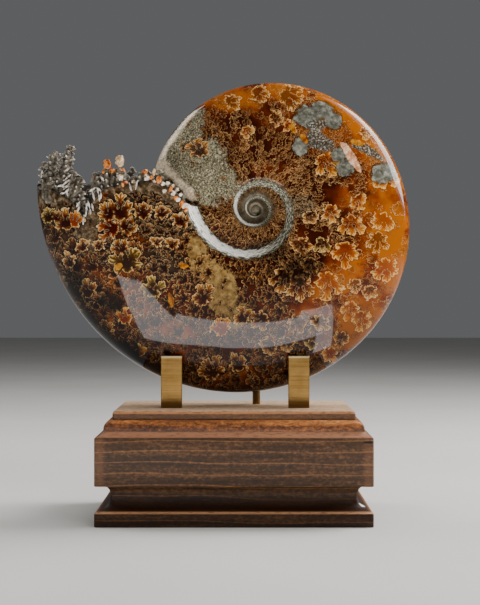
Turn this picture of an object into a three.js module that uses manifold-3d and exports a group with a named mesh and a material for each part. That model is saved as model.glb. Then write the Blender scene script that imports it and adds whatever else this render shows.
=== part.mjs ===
import * as THREE from 'three';
import { mergeVertices } from 'three/addons/utils/BufferGeometryUtils.js';
import Module from 'manifold-3d';

// Millimetres, +Z up. The origin is the centre of the plinth's underside and the polished flank faces -Y.

const wasm = await Module();
wasm.setup();

const DEGREE = Math.PI / 180;
const GAP = 0.3;

// Plinth
const PLINTH_WIDTH = 162.2;
const PLINTH_DEPTH = 99.5;
const PLINTH_HEIGHT = 66.8;
const FOOT_SLAB_TOP = 8.1;
const MAIN_BLOCK_BOTTOM = 23.5;
const MAIN_BLOCK_TOP = 51.8;
const OVOLO_BOTTOM = 55.0;
const OVOLO_TOP = 61.5;
const COVE_BOTTOM = 9.0;
const COVE_INSET = 8.9;
const OVOLO_INSET = 4.9;
const OVOLO_BULGE = 2.7;
const TOP_SLAB_INSET = 9.7;
const TOP_EDGE_RADIUS = 1.8;

// Brass holders
const PRONG_WIDTH = 12.7;
const PRONG_THICKNESS = 3.0;
const PRONG_RISE = 31.5;
const PRONG_CENTRES = [-37.8, 39.0];
const PRONG_FRONT_Y = -19.6;
const PRONG_CHAMFER = 0.35;
const ROD_RADIUS = 2.4;
const ROD_X = 13.7;
const ROD_FOOT_Y = 11.7;
const TANG_DEPTH = 8.0;

// Shell spiral
const POLE_X = 13.07;
const POLE_Z = 187.6;
const KEEL_RADIUS = 93.3;
const KEEL_GROWTH = 0.1167;
const SHOULDER_RADIUS = 16.6;
const SHOULDER_TURN = -80 * DEGREE;
const SHOULDER_GROWTH_YOUNG = 0.118;
const SHOULDER_GROWTH_ADULT = 0.2;
const THICKNESS_RATIO = 0.42;
const THICKNESS_FADE = 130;
const FLANK_SEGMENTS = 8;
const FIRST_CHAMBER_RADIUS = 3.6;
const SMALLEST_EDGE = 0.05;
const BREAK_ANGLE = 189 * DEGREE;
const BREAK_BLEND_START = 165 * DEGREE;
const BREAK_WALL = 0.84;
const BREAK_SINK = 6 * DEGREE;

// Boolean helpers

function toManifold(geometry) {
  const bare = geometry.clone();
  bare.deleteAttribute('normal');
  bare.deleteAttribute('uv');
  const closed = mergeVertices(bare, 1e-4);
  const mesh = new wasm.Mesh({
    numProp: 3,
    vertProperties: new Float32Array(closed.attributes.position.array),
    triVerts: new Uint32Array(closed.index.array),
  });
  return new wasm.Manifold(mesh);
}

function fromManifold(solid) {
  const mesh = solid.getMesh();
  const geometry = new THREE.BufferGeometry();
  geometry.setAttribute('position', new THREE.BufferAttribute(new Float32Array(mesh.vertProperties), 3));
  geometry.setIndex(new THREE.BufferAttribute(new Uint32Array(mesh.triVerts), 1));
  const faceted = geometry.toNonIndexed();
  faceted.computeVertexNormals();
  return faceted;
}

function geometryFrom(points, triangles) {
  const geometry = new THREE.BufferGeometry();
  geometry.setAttribute('position', new THREE.Float32BufferAttribute(points.flat(), 3));
  geometry.setIndex(triangles.flat());
  return geometry;
}

function unite(solids) {
  return solids.reduce((whole, solid) => whole.add(solid));
}

// Two triangles between neighbouring rings of equal length that close on themselves.
function joinRings(triangles, lower, upper, count) {
  for (let i = 0; i < count; i += 1) {
    const next = (i + 1) % count;
    triangles.push([lower + i, lower + next, upper + next]);
    triangles.push([lower + i, upper + next, upper + i]);
  }
}

// Plinth: mitred rectangular rings that follow one moulding profile of [inset, height] points.

function arcPoints(from, to, bulge, segments) {
  const points = [];
  const length = Math.hypot(to[0] - from[0], to[1] - from[1]);
  const across = [-(to[1] - from[1]) / length, (to[0] - from[0]) / length];
  for (let i = 1; i < segments; i += 1) {
    const t = i / segments;
    const offset = bulge * Math.sin(Math.PI * t);
    points.push([
      from[0] + (to[0] - from[0]) * t + across[0] * offset,
      from[1] + (to[1] - from[1]) * t + across[1] * offset,
    ]);
  }
  return points;
}

function mouldingProfile() {
  const coveFoot = [1.2, COVE_BOTTOM];
  const coveHead = [5.6, MAIN_BLOCK_BOTTOM];
  const coveWaist = [COVE_INSET, (MAIN_BLOCK_BOTTOM + COVE_BOTTOM) / 2 + 0.5];
  const ovoloFoot = [OVOLO_INSET, OVOLO_BOTTOM];
  const ovoloHead = [OVOLO_INSET + OVOLO_BULGE, OVOLO_TOP];
  const topFoot = [TOP_SLAB_INSET, OVOLO_TOP];
  const topSide = [TOP_SLAB_INSET, PLINTH_HEIGHT - TOP_EDGE_RADIUS];
  const topFlat = [TOP_SLAB_INSET + TOP_EDGE_RADIUS, PLINTH_HEIGHT];
  return [
    [0.5, 0],
    [0, 0.5],
    [0, FOOT_SLAB_TOP - 0.6],
    [0.6, FOOT_SLAB_TOP],
    coveFoot,
    ...arcPoints(coveFoot, coveWaist, -2.6, 4),
    coveWaist,
    ...arcPoints(coveWaist, coveHead, -1.0, 3),
    coveHead,
    [0.4, MAIN_BLOCK_BOTTOM],
    [0, MAIN_BLOCK_BOTTOM + 0.4],
    [0, MAIN_BLOCK_TOP - 0.5],
    [0.5, MAIN_BLOCK_TOP],
    ...arcPoints([0.5, MAIN_BLOCK_TOP], ovoloFoot, -0.5, 3),
    ovoloFoot,
    ...arcPoints(ovoloFoot, ovoloHead, 1.1, 4),
    ovoloHead,
    topFoot,
    topSide,
    ...arcPoints(topSide, topFlat, 0.5, 3),
    topFlat,
  ];
}

function mouldedBlock() {
  const profile = mouldingProfile();
  const points = [];
  const triangles = [];
  for (const [inset, z] of profile) {
    const x = PLINTH_WIDTH / 2 - inset;
    const y = PLINTH_DEPTH / 2 - inset;
    points.push([-x, -y, z], [x, -y, z], [x, y, z], [-x, y, z]);
  }
  for (let i = 1; i < profile.length; i += 1) {
    joinRings(triangles, 4 * (i - 1), 4 * i, 4);
  }
  const top = 4 * (profile.length - 1);
  triangles.push([0, 2, 1], [0, 3, 2]);
  triangles.push([top, top + 1, top + 2], [top, top + 2, top + 3]);
  return toManifold(geometryFrom(points, triangles));
}

function prongCentre(x) {
  return new THREE.Vector3(x, PRONG_FRONT_Y + PRONG_THICKNESS / 2, PLINTH_HEIGHT);
}

function slotCutter(x) {
  const cutter = new THREE.BoxGeometry(
    PRONG_WIDTH + 2 * GAP,
    PRONG_THICKNESS + 2 * GAP,
    2 * (TANG_DEPTH + GAP),
  );
  const centre = prongCentre(x);
  cutter.translate(centre.x, centre.y, centre.z);
  return toManifold(cutter);
}

function rodHoleCutter() {
  const cutter = new THREE.CylinderGeometry(ROD_RADIUS + GAP, ROD_RADIUS + GAP, 2 * (TANG_DEPTH + GAP), 20);
  cutter.rotateX(Math.PI / 2);
  cutter.translate(ROD_X, ROD_FOOT_Y, PLINTH_HEIGHT);
  return toManifold(cutter);
}

function plinthGeometry() {
  const cutters = [...PRONG_CENTRES.map(slotCutter), rodHoleCutter()];
  return fromManifold(mouldedBlock().subtract(unite(cutters)));
}

// Brass holders

function prongGeometry(x) {
  const width = PRONG_WIDTH - 2 * PRONG_CHAMFER;
  const height = PRONG_RISE + TANG_DEPTH - 2 * PRONG_CHAMFER;
  const outline = new THREE.Shape([
    new THREE.Vector2(-width / 2, 0),
    new THREE.Vector2(width / 2, 0),
    new THREE.Vector2(width / 2, height),
    new THREE.Vector2(-width / 2, height),
  ]);
  const bar = new THREE.ExtrudeGeometry(outline, {
    depth: PRONG_THICKNESS - 2 * PRONG_CHAMFER,
    bevelEnabled: true,
    bevelThickness: PRONG_CHAMFER,
    bevelSize: PRONG_CHAMFER,
    bevelSegments: 1,
  });
  bar.rotateX(Math.PI / 2);
  bar.translate(
    x,
    PRONG_FRONT_Y + PRONG_THICKNESS - PRONG_CHAMFER,
    PLINTH_HEIGHT - TANG_DEPTH + PRONG_CHAMFER,
  );
  return bar;
}

// The rod stands in its hole, passes under the keel and then follows the back flank of the shell.
function rodPath() {
  const points = [new THREE.Vector3(ROD_X, ROD_FOOT_Y, PLINTH_HEIGHT - TANG_DEPTH)];
  points.push(new THREE.Vector3(ROD_X, ROD_FOOT_Y, PLINTH_HEIGHT + 6));
  const below = Math.PI / 2;
  const keel = keelRadius(below);
  const clearance = ROD_RADIUS + GAP + 0.1;
  for (const rise of [9, 15, 22, 30, 38]) {
    const slope = flankHalf(below, keel - rise - 0.5) - flankHalf(below, keel - rise + 0.5);
    const length = Math.hypot(1, slope);
    points.push(new THREE.Vector3(
      ROD_X,
      flankHalf(below, keel - rise) + clearance / length,
      POLE_Z - keel + rise - (clearance * slope) / length,
    ));
  }
  return new THREE.CatmullRomCurve3(points, false, 'centripetal');
}

function rodGeometry() {
  const section = new THREE.Shape();
  section.absarc(0, 0, ROD_RADIUS, 0, 2 * Math.PI, false);
  return new THREE.ExtrudeGeometry(section, {
    extrudePath: rodPath(),
    steps: 18,
    curveSegments: 8,
    bevelEnabled: false,
  });
}

// Shell: growth angle theta runs clockwise as seen from the front, 0 towards +X.

function keelRadius(theta) {
  return KEEL_RADIUS * Math.exp(KEEL_GROWTH * theta) * (1 + 0.0115 * Math.cos(theta));
}

function shoulderRadius(theta) {
  const growth = theta < SHOULDER_TURN ? SHOULDER_GROWTH_YOUNG : SHOULDER_GROWTH_ADULT;
  return SHOULDER_RADIUS * Math.exp(growth * (theta - SHOULDER_TURN));
}

function halfThickness(theta) {
  const keel = keelRadius(theta);
  return (THICKNESS_RATIO * keel) / (1 + keel / THICKNESS_FADE);
}

// Half thickness of the shell at one radius on the flank, an ellipse from the shoulder to the keel.
function flankHalf(theta, radius) {
  const keel = keelRadius(theta);
  const inner = 1.12 * shoulderRadius(theta);
  const across = THREE.MathUtils.clamp((radius - inner) / (keel - inner), 0, 1);
  return halfThickness(theta) * Math.sqrt(1 - across * across);
}

// Half of a cross-section as [radius, half thickness], from inside the older whorl out to the keel.
function halfSection(theta) {
  const keel = keelRadius(theta);
  const shoulder = shoulderRadius(theta);
  const half = halfThickness(theta);
  const points = [
    [0.7 * shoulder, 0.32 * half],
    [0.86 * shoulder, 0.72 * half],
    [0.97 * shoulder, 0.93 * half],
  ];
  for (let i = 0; i < FLANK_SEGMENTS; i += 1) {
    const turn = (i / FLANK_SEGMENTS) * (Math.PI / 2);
    points.push([1.12 * shoulder + (keel - 1.12 * shoulder) * Math.sin(turn), half * Math.cos(turn)]);
  }
  points.push([keel, 0]);
  return points;
}

function place(theta, radius, y) {
  return [POLE_X + radius * Math.cos(theta), y, POLE_Z - radius * Math.sin(theta)];
}

// Front half, keel and back half of a section, in ring order.
function sectionRing(theta, angleAt) {
  const half = halfSection(theta);
  const front = half.map(([radius, y]) => place(angleAt(radius), radius, -y));
  const back = half.slice(0, -1).reverse().map(([radius, y]) => place(angleAt(radius), radius, y));
  return [...front, ...back];
}

// The broken end isn't square to the whorl: it leans back between the keel and the older whorl.
function breakLine(radius) {
  const stops = [[30, 187], [44, 191], [67, 198], [96, 190], [136, 186.5]];
  let i = 1;
  while (i < stops.length - 1 && radius > stops[i][0]) {
    i += 1;
  }
  const t = THREE.MathUtils.clamp((radius - stops[i - 1][0]) / (stops[i][0] - stops[i - 1][0]), 0, 1);
  return THREE.MathUtils.lerp(stops[i - 1][1], stops[i][1], t) * DEGREE;
}

// A shallow cup behind the broken edge, so that the front and back flanks end in a wall.
function cupRings() {
  const half = halfSection(BREAK_ANGLE);
  const middle = (half[0][0] + half[half.length - 1][0]) / 2;
  const rings = [];
  for (const [scale, sink] of [[BREAK_WALL, 0], [BREAK_WALL * 0.9, BREAK_SINK]]) {
    const front = half.map(([radius, y]) => [middle + (radius - middle) * (0.08 + 0.92 * scale), -y * scale]);
    const back = front.slice(0, -1).reverse().map(([radius, y]) => [radius, -y]);
    rings.push([...front, ...back].map(([radius, y]) => place(breakLine(radius) - sink, radius, y)));
  }
  return rings;
}

function loftWhorl(rings) {
  const count = rings[0].length;
  const half = (count - 1) / 2;
  const points = rings.flat();
  const triangles = [];
  for (let k = 1; k < rings.length; k += 1) {
    joinRings(triangles, count * (k - 1), count * k, count);
  }
  for (const [start, flip] of [[0, false], [count * (rings.length - 1), true]]) {
    for (let i = 0; i < half; i += 1) {
      const a = start + i;
      const b = start + i + 1;
      const c = start + count - 1 - (i + 1);
      const d = start + count - 1 - i;
      const pair = i === half - 1 ? [[a, d, b]] : [[a, d, c], [a, c, b]];
      triangles.push(...(flip ? pair.map(([p, q, r]) => [p, r, q]) : pair));
    }
  }
  const solid = toManifold(geometryFrom(points, triangles));
  if (solid.volume() > 0) {
    return solid;
  }
  return toManifold(geometryFrom(points, triangles.map(([p, q, r]) => [p, r, q])));
}

function whorlPiece(startDegrees, endDegrees, steps) {
  const rings = [];
  for (let k = 0; k <= steps; k += 1) {
    const theta = THREE.MathUtils.lerp(startDegrees, endDegrees, k / steps) * DEGREE;
    rings.push(sectionRing(theta, () => theta));
  }
  return loftWhorl(rings);
}

function bodyWhorl() {
  const rings = [];
  for (let degrees = 20; degrees < 164; degrees += 6) {
    rings.push(sectionRing(degrees * DEGREE, () => degrees * DEGREE));
  }
  const blendSteps = 5;
  for (let k = 0; k <= blendSteps; k += 1) {
    const t = k / blendSteps;
    const theta = THREE.MathUtils.lerp(BREAK_BLEND_START, BREAK_ANGLE, t);
    rings.push(sectionRing(theta, (radius) => theta + t * (breakLine(radius) - BREAK_ANGLE)));
  }
  rings.push(...cupRings());
  return loftWhorl(rings);
}

// Crown of septum fronds along the broken edge

const FRONT_FRONDS = [
  { x: -116.4, base: 196, tip: 217.0, width: 6, teeth: 1, lean: -1 },
  { x: -110.0, base: 198, tip: 223.0, width: 9, teeth: 3, lean: 0.5 },
  { x: -102.5, base: 197, tip: 225.2, width: 11, teeth: 4, lean: 2.5 },
  { x: -95.0, base: 196, tip: 206.5, width: 6, teeth: 1, lean: 1 },
  { x: -84.5, base: 196, tip: 209.5, width: 7, teeth: 1, lean: -2.5 },
  { x: -77.0, base: 196, tip: 217.0, width: 10, teeth: 2, lean: -0.5 },
  { x: -69.5, base: 196, tip: 219.0, width: 8, teeth: 2, lean: 1.5 },
  { x: -61.5, base: 196, tip: 208.5, width: 8, teeth: 1, lean: 0 },
  { x: -54.5, base: 198, tip: 212.0, width: 8, teeth: 2, lean: 1 },
];

const BACK_FRONDS = [
  { x: -108.0, base: 196, tip: 216.0, width: 9, teeth: 2, lean: -1 },
  { x: -97.0, base: 196, tip: 218.0, width: 10, teeth: 3, lean: 1 },
  { x: -86.5, base: 196, tip: 205.0, width: 9, teeth: 1, lean: 0 },
  { x: -75.0, base: 196, tip: 213.0, width: 10, teeth: 2, lean: 1 },
  { x: -63.5, base: 196, tip: 209.0, width: 9, teeth: 2, lean: -1 },
];

// Outline of one frond with notched sides, drawn upright from its base to its rounded tip.
function frondOutline({ base, tip, width, teeth, lean }) {
  const height = tip - base;
  const side = [];
  for (let i = 0; i < teeth; i += 1) {
    const low = 0.38 + (0.5 * i) / teeth;
    const high = low + 0.36 / teeth;
    const reach = width * (0.5 - 0.14 * (i / teeth));
    side.push([reach * 0.55, low], [reach, high], [reach * 0.5, high + 0.06]);
  }
  const left = [[-width * 0.55, 0], ...side.map(([across, up]) => [-across, up])];
  const right = [[width * 0.55, 0], ...side.map(([across, up]) => [across, up - 0.05])];
  const crest = [[-width * 0.16, 0.97], [width * 0.04, 1], [width * 0.22, 0.95]];
  const loop = [...right, ...crest.reverse(), ...left.reverse()];
  return loop.map(([across, up]) => new THREE.Vector2(across + lean * up * up, up * height));
}

// `side` is -1 on the front flank and +1 on the back; each blade stands just inside the polished skin.
function frondSolid(frond, side) {
  const depth = 0.62 * frond.width;
  const radius = Math.hypot(POLE_X - frond.x + 0.55 * frond.width, frond.base - POLE_Z);
  const y = side * Math.max(flankHalf(BREAK_ANGLE, radius) - depth / 2 - 0.4, 0);
  const blade = new THREE.ExtrudeGeometry(new THREE.Shape(frondOutline(frond)), {
    depth,
    bevelEnabled: false,
  });
  blade.translate(0, 0, -depth / 2);
  blade.rotateX(Math.PI / 2);
  blade.translate(frond.x, y, frond.base);
  const position = blade.attributes.position;
  const height = frond.tip - frond.base;
  for (let i = 0; i < position.count; i += 1) {
    const up = (position.getZ(i) - frond.base) / height;
    position.setY(i, y + (position.getY(i) - y) * (1 - 0.55 * up));
  }
  return toManifold(blade);
}

// Small calcite crystals, each a sheared block that leans its own way.

const CRYSTALS = [
  { x: -79.5, y: -20, z: 216.5, size: 5.0, turn: 35, lean: 20 },
  { x: -75.0, y: -19, z: 210.0, size: 4.6, turn: 60, lean: -25 },
  { x: -68.5, y: -19, z: 217.5, size: 4.8, turn: 15, lean: 35 },
  { x: -68.0, y: -21, z: 209.0, size: 4.6, turn: 70, lean: 30 },
  { x: -62.0, y: -21, z: 205.5, size: 4.4, turn: 25, lean: -30 },
  { x: -53.5, y: -21, z: 206.5, size: 4.6, turn: 50, lean: 20 },
  { x: -48.5, y: -19, z: 209.0, size: 4.2, turn: 30, lean: 40 },
  { x: -45.5, y: -22, z: 203.0, size: 4.8, turn: 10, lean: 15 },
  { x: -39.5, y: -22, z: 198.5, size: 4.6, turn: 40, lean: -20 },
  { x: -36.0, y: -22, z: 194.0, size: 4.2, turn: 65, lean: 25 },
  { x: -45.0, y: 21, z: 203.5, size: 4.6, turn: 35, lean: 20 },
  { x: -38.5, y: 21, z: 197.5, size: 4.4, turn: 60, lean: -25 },
];

function crystalSolid({ x, y, z, size, turn, lean }) {
  const block = new THREE.BoxGeometry(size, size, size);
  const position = block.attributes.position;
  for (let i = 0; i < position.count; i += 1) {
    position.setX(i, position.getX(i) + 0.26 * position.getZ(i));
  }
  block.rotateZ(turn * DEGREE);
  block.rotateY(lean * DEGREE);
  block.rotateX(32 * DEGREE);
  block.translate(x, y, z);
  return toManifold(block);
}

// The first chamber fills the middle of the umbilicus.
function firstChamber() {
  const chamber = new THREE.SphereGeometry(FIRST_CHAMBER_RADIUS, 12, 8);
  chamber.translate(POLE_X, 0, POLE_Z);
  return toManifold(chamber);
}

function shellGeometry() {
  const whorls = [
    bodyWhorl(),
    whorlPiece(-190, 20, 35),
    whorlPiece(-370, -190, 18),
    whorlPiece(-560, -370, 15),
    whorlPiece(-780, -560, 15),
    whorlPiece(-1000, -780, 10),
  ];
  const growths = [
    ...FRONT_FRONDS.map((frond) => frondSolid(frond, -1)),
    ...BACK_FRONDS.map((frond) => frondSolid(frond, 1)),
    ...CRYSTALS.map(crystalSolid),
  ];
  const whole = unite([...whorls, firstChamber(), ...growths]);
  return fromManifold(whole.asOriginal().simplify(SMALLEST_EDGE));
}

// Assembly

const polishedFossil = new THREE.MeshStandardMaterial({ color: 0xa8622c, roughness: 0.15, metalness: 0 });
const stainedWood = new THREE.MeshStandardMaterial({ color: 0x5d4434, roughness: 0.5, metalness: 0 });
const satinBrass = new THREE.MeshStandardMaterial({ color: 0xb08d57, roughness: 0.35, metalness: 1 });

const group = new THREE.Group();
group.name = 'ammonite_on_stand';

function addPiece(name, geometry, material) {
  const mesh = new THREE.Mesh(geometry, material.clone());
  mesh.name = name;
  group.add(mesh);
}

addPiece('ammonite_shell', shellGeometry(), polishedFossil);
addPiece('wood_plinth', plinthGeometry(), stainedWood);
addPiece('brass_prong_left', prongGeometry(PRONG_CENTRES[0]), satinBrass);
addPiece('brass_prong_right', prongGeometry(PRONG_CENTRES[1]), satinBrass);
addPiece('brass_rear_rod', rodGeometry(), satinBrass);

export default group;
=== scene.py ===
import math
import random

import bmesh
import bpy
from mathutils import Matrix, Vector


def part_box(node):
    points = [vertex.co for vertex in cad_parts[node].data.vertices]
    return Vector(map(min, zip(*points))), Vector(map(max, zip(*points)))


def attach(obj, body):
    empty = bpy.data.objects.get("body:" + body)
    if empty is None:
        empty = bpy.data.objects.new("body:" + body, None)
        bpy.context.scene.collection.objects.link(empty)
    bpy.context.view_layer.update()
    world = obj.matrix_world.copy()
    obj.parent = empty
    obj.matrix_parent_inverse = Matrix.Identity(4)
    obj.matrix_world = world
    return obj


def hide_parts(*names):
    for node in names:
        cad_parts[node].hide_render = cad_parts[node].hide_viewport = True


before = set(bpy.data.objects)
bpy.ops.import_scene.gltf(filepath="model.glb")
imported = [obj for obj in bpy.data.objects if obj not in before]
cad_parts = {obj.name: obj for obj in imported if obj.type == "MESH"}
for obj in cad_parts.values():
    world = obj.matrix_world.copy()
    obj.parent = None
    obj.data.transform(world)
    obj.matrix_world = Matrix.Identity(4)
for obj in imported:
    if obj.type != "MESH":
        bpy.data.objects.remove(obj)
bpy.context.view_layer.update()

MM = 0.001

# Shell spiral in millimetres: theta runs clockwise as seen from the front, 0 towards +X
POLE_X = 13.07
POLE_Z = 187.6
KEEL_RADIUS = 93.3
KEEL_GROWTH = 0.1167
# the keel stands this share further out towards +X, and as much less towards -X
KEEL_SWELL = 0.0115
SHOULDER_RADIUS = 16.6
SHOULDER_TURN = math.radians(-80)
SHOULDER_GROWTH_YOUNG = 0.118
SHOULDER_GROWTH = 0.2
THICKNESS_RATIO = 0.42
THICKNESS_FADE = 130
BREAK_ANGLE = math.radians(189)
BREAK_BLEND_START = math.radians(165)
FIRST_CHAMBER_RADIUS = 3.6
# The pattern takes the first chamber for this place on the growth map and for pearly wall
FIRST_CHAMBER_MAP = (0.8, 0.0, 2.4)
FIRST_CHAMBER_WALL = 0.82

# The wall round the umbilicus, in parts of the shoulder radius: where it starts, its width, its top
WALL_FOOT = 0.7
WALL_WIDTH = 0.42
WALL_TOP = 1.12

# Rings of the shell's skin, in degrees of growth
COIL_START = -1000
INNER_END = -190
INNER_STEP = 3
OUTER_STEP = 1.25
OUTER_RINGS = 285
BREAK_RINGS = 26
# Points on each ring: up the umbilical wall, over the flank, and on the older whorls in all
WALL_STEPS = 8
INNER_FLANK_STEPS = 40
OUTER_FLANK_STEPS = 56
INNER_POINTS = 16
# Older whorls run in under the next one, to this part of its shoulder radius
SEAM_TUCK = 0.94

# The suture pattern grows with the shell: its grain is in proportion to radius ** (1 - MAP_POWER)
MAP_POWER = 0.4

# The back flank carries the same minerals and leaves, turned about the pole by this much
BACK_TURN = 0.5
# Over this much of the rounded keel, in millimetres, the minerals of the two flanks run together
KEEL_BLEND = 12
# Painted highlight: the umbilical wall is painted whitest at this angle of every turn, facing the key light
WALL_HIGHLIGHT_ANGLE = math.radians(150)

# Plinth in millimetres
PLINTH_LOW, PLINTH_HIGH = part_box("wood_plinth")
PLINTH_WIDTH = (PLINTH_HIGH[0] - PLINTH_LOW[0]) / MM
PLINTH_DEPTH = (PLINTH_HIGH[1] - PLINTH_LOW[1]) / MM
PLINTH_HEIGHT = PLINTH_HIGH[2] / MM
FOOT_SLAB_TOP = 8.1
MAIN_BLOCK_BOTTOM = 23.5
MAIN_BLOCK_TOP = 51.8
OVOLO_BOTTOM = 55.0
OVOLO_TOP = 61.5
TOP_SLAB_INSET = 9.7
# The tree's centre behind and below the block: y, z
TREE_CENTRE = (240.0, -420.0)

# Camera at the photograph's place: level, in front of the shell, in millimetres
CAMERA_X = 3.5
CAMERA_Z = 130.4
CAMERA_DISTANCE = 800
CAMERA_LENS = 77.1
SENSOR = 36
PHOTO_MIDDLE = (240, 301.75)
PHOTO_HEIGHT = 605
# size of a photograph pixel for each millimetre of distance
PIXEL = SENSOR / CAMERA_LENS / PHOTO_HEIGHT
# First guess at the depth of a place on the flank, on a frond and on a crystal; its radius
# follows from it, and the true depth from that
FLANK_DEPTH = -20.0
FROND_DEPTH = -18
CRYSTAL_DEPTH = -22


def new_piece(name, mesh, material):
    """Stands a mesh in the scene as a piece of its own."""
    piece = bpy.data.objects.new(name, mesh)
    bpy.context.collection.objects.link(piece)
    mesh.materials.append(material)
    return piece


def piece_from(name, shape, material):
    """Turns an edited shape into a piece and lets go of the shape."""
    mesh = bpy.data.meshes.new(name)
    shape.to_mesh(mesh)
    shape.free()
    return new_piece(name, mesh, material)


def skin_rings(shape, rings):
    """Faces from each closed loop of vertices up to the next, and over both ends."""
    for lower, upper in zip(rings, rings[1:]):
        for i in range(len(lower)):
            j = (i + 1) % len(lower)
            shape.faces.new((lower[i], lower[j], upper[j], upper[i]))
    shape.faces.new(list(reversed(rings[0])))
    shape.faces.new(rings[-1])


# Shell outline


def keel_radius(theta):
    return KEEL_RADIUS * math.exp(KEEL_GROWTH * theta) * (1 + KEEL_SWELL * math.cos(theta))


def shoulder_radius(theta):
    growth = SHOULDER_GROWTH_YOUNG if theta < SHOULDER_TURN else SHOULDER_GROWTH
    return SHOULDER_RADIUS * math.exp(growth * (theta - SHOULDER_TURN))


def half_thickness(theta):
    keel = keel_radius(theta)
    return THICKNESS_RATIO * keel / (1 + keel / THICKNESS_FADE)


def flank_half(theta, radius):
    keel = keel_radius(theta)
    inner = WALL_TOP * shoulder_radius(theta)
    across = min(max((radius - inner) / (keel - inner), 0), 1)
    return half_thickness(theta) * math.sqrt(1 - across * across)


# Broken edge of each flank: (radius, growth angle in degrees); the front has a deep notch
FRONT_BREAK = [
    (30, 181), (39.7, 181.6), (46.3, 188), (56.8, 192.5), (65.3, 193.5), (72.2, 191), (81.1, 189.5),
    (89.6, 187.5), (95.9, 184.5), (99.5, 179.5), (103, 175.5), (106.9, 179.5), (111.6, 182), (118.2, 184),
    (125.9, 185.5), (131.9, 185.5), (136, 186),
]
BACK_BREAK = [
    (30, 187), (44, 191), (67, 196), (80, 193), (96, 189.5), (112, 189), (136, 186.5),
]


def break_line(radius, stops):
    """Growth angle of the broken edge at a radius."""
    for (r0, a0), (r1, a1) in zip(stops, stops[1:]):
        if radius <= r1:
            t = min(max((radius - r0) / (r1 - r0), 0), 1)
            return math.radians(a0 + (a1 - a0) * t)
    return math.radians(stops[-1][1])


def half_section(theta, flank_steps, outer=None):
    """Points (radius, half thickness, arc length) from inside the older whorl out to the keel."""
    keel = keel_radius(theta)
    shoulder = shoulder_radius(theta)
    half = half_thickness(theta)
    inner = WALL_TOP * shoulder
    points = []
    for i in range(WALL_STEPS):
        t = i / WALL_STEPS
        rise = 0.32 + 0.68 * math.sin(t * math.pi / 2)
        points.append((shoulder * (WALL_FOOT + WALL_WIDTH * t), half * rise))
    for i in range(flank_steps + 1):
        turn = i / flank_steps * math.pi / 2
        points.append((inner + (keel - inner) * math.sin(turn), half * math.cos(turn)))
    if outer is not None:
        points = [p for p in points if p[0] < outer] + [(outer, flank_half(theta, outer))]
    walked = WALL_FOOT * shoulder
    rows = []
    for i, (radius, y) in enumerate(points):
        if i:
            walked += math.hypot(radius - points[i - 1][0], y - points[i - 1][1])
        rows.append((radius, y, walked))
    return rows


def resample(rows, count):
    """The same curve with a fixed number of points, evenly spaced along its arc."""
    first, final = rows[0][2], rows[-1][2]
    out = []
    k = 1
    for i in range(count):
        goal = first + (final - first) * i / (count - 1)
        while k < len(rows) - 1 and rows[k][2] < goal:
            k += 1
        (r0, y0, s0), (r1, y1, s1) = rows[k - 1], rows[k]
        t = min(max((goal - s0) / max(s1 - s0, 1e-9), 0), 1)
        out.append((r0 + (r1 - r0) * t, y0 + (y1 - y0) * t, goal))
    return out


def pole_distance(place):
    return math.hypot(place.x - POLE_X, place.z - POLE_Z)


def pixel_size(y):
    """Millimetres that one photograph pixel spans at a depth y."""
    return PIXEL * (CAMERA_DISTANCE + y)


def from_photo(px, py, y):
    """The place in millimetres that a photograph pixel shows, at a depth y."""
    step = pixel_size(y)
    return Vector((CAMERA_X + (px - PHOTO_MIDDLE[0]) * step, y, CAMERA_Z + (PHOTO_MIDDLE[1] - py) * step))


def flank_place(px, py):
    """The place on the front flank that a photograph pixel shows."""
    y = FLANK_DEPTH
    for _ in range(3):
        spot = from_photo(px, py, y)
        radius = pole_distance(spot)
        theta = -math.atan2(spot.z - POLE_Z, spot.x - POLE_X)
        if theta < math.radians(-170) or (theta > 0) != (spot.z < POLE_Z):
            theta += 2 * math.pi
        if spot.x < POLE_X and theta < 0 and radius > 1.02 * keel_radius(theta):
            theta = BREAK_ANGLE
        y = -flank_half(min(theta, BREAK_ANGLE), radius)
    return from_photo(px, py, y)


def on_shell(theta, radius, y):
    """The place at a growth angle, a radius and a depth."""
    return Vector((POLE_X + radius * math.cos(theta), y, POLE_Z - radius * math.sin(theta)))


# Shell skin


class ShellSkin:
    """Collects rings of the shell with the growth map that its pattern is drawn in."""

    def __init__(self):
        self.points = []
        self.maps = []
        self.walls = []
        self.faces = []

    def add(self, point, growth_map, wall):
        self.points.append(point)
        self.maps.append(growth_map)
        self.walls.append(wall)
        return len(self.points) - 1

    def ring(self, theta, rows, side, bend=0.0):
        """One ring; bend is how far it has swung over to the line of the broken edge, 0 to 1."""
        shoulder = shoulder_radius(theta)
        stops = FRONT_BREAK if side < 0 else BACK_BREAK
        out = []
        for radius, y, walked in rows:
            angle = theta + bend * (break_line(radius, stops) - BREAK_ANGLE)
            reach = math.exp(MAP_POWER * math.log(walked / KEEL_RADIUS)) / MAP_POWER
            growth_map = (reach * math.cos(MAP_POWER * angle), reach * math.sin(MAP_POWER * angle), angle)
            out.append(self.add(on_shell(angle, radius, side * y), growth_map, radius / shoulder))
        return out

    def join(self, rings, side):
        """Faces from each ring to the next; gives back the last ring."""
        for first, second in zip(rings, rings[1:]):
            for a, b, c, d in zip(first, first[1:], second[1:], second):
                self.faces.append((a, b, c, d) if side > 0 else (d, c, b, a))
        return rings[-1]


def inner_whorls(skin):
    """The umbilicus: each older whorl shows from its own seam out to the next whorl's wall."""
    for side in (-1, 1):
        rings = []
        for degrees in range(COIL_START, INNER_END + 1, INNER_STEP):
            theta = math.radians(degrees)
            outer = min(SEAM_TUCK * shoulder_radius(theta + 2 * math.pi), keel_radius(theta))
            rows = half_section(theta, INNER_FLANK_STEPS, outer)
            rings.append(skin.ring(theta, resample(rows, INNER_POINTS), side))
        skin.join(rings, side)


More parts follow.
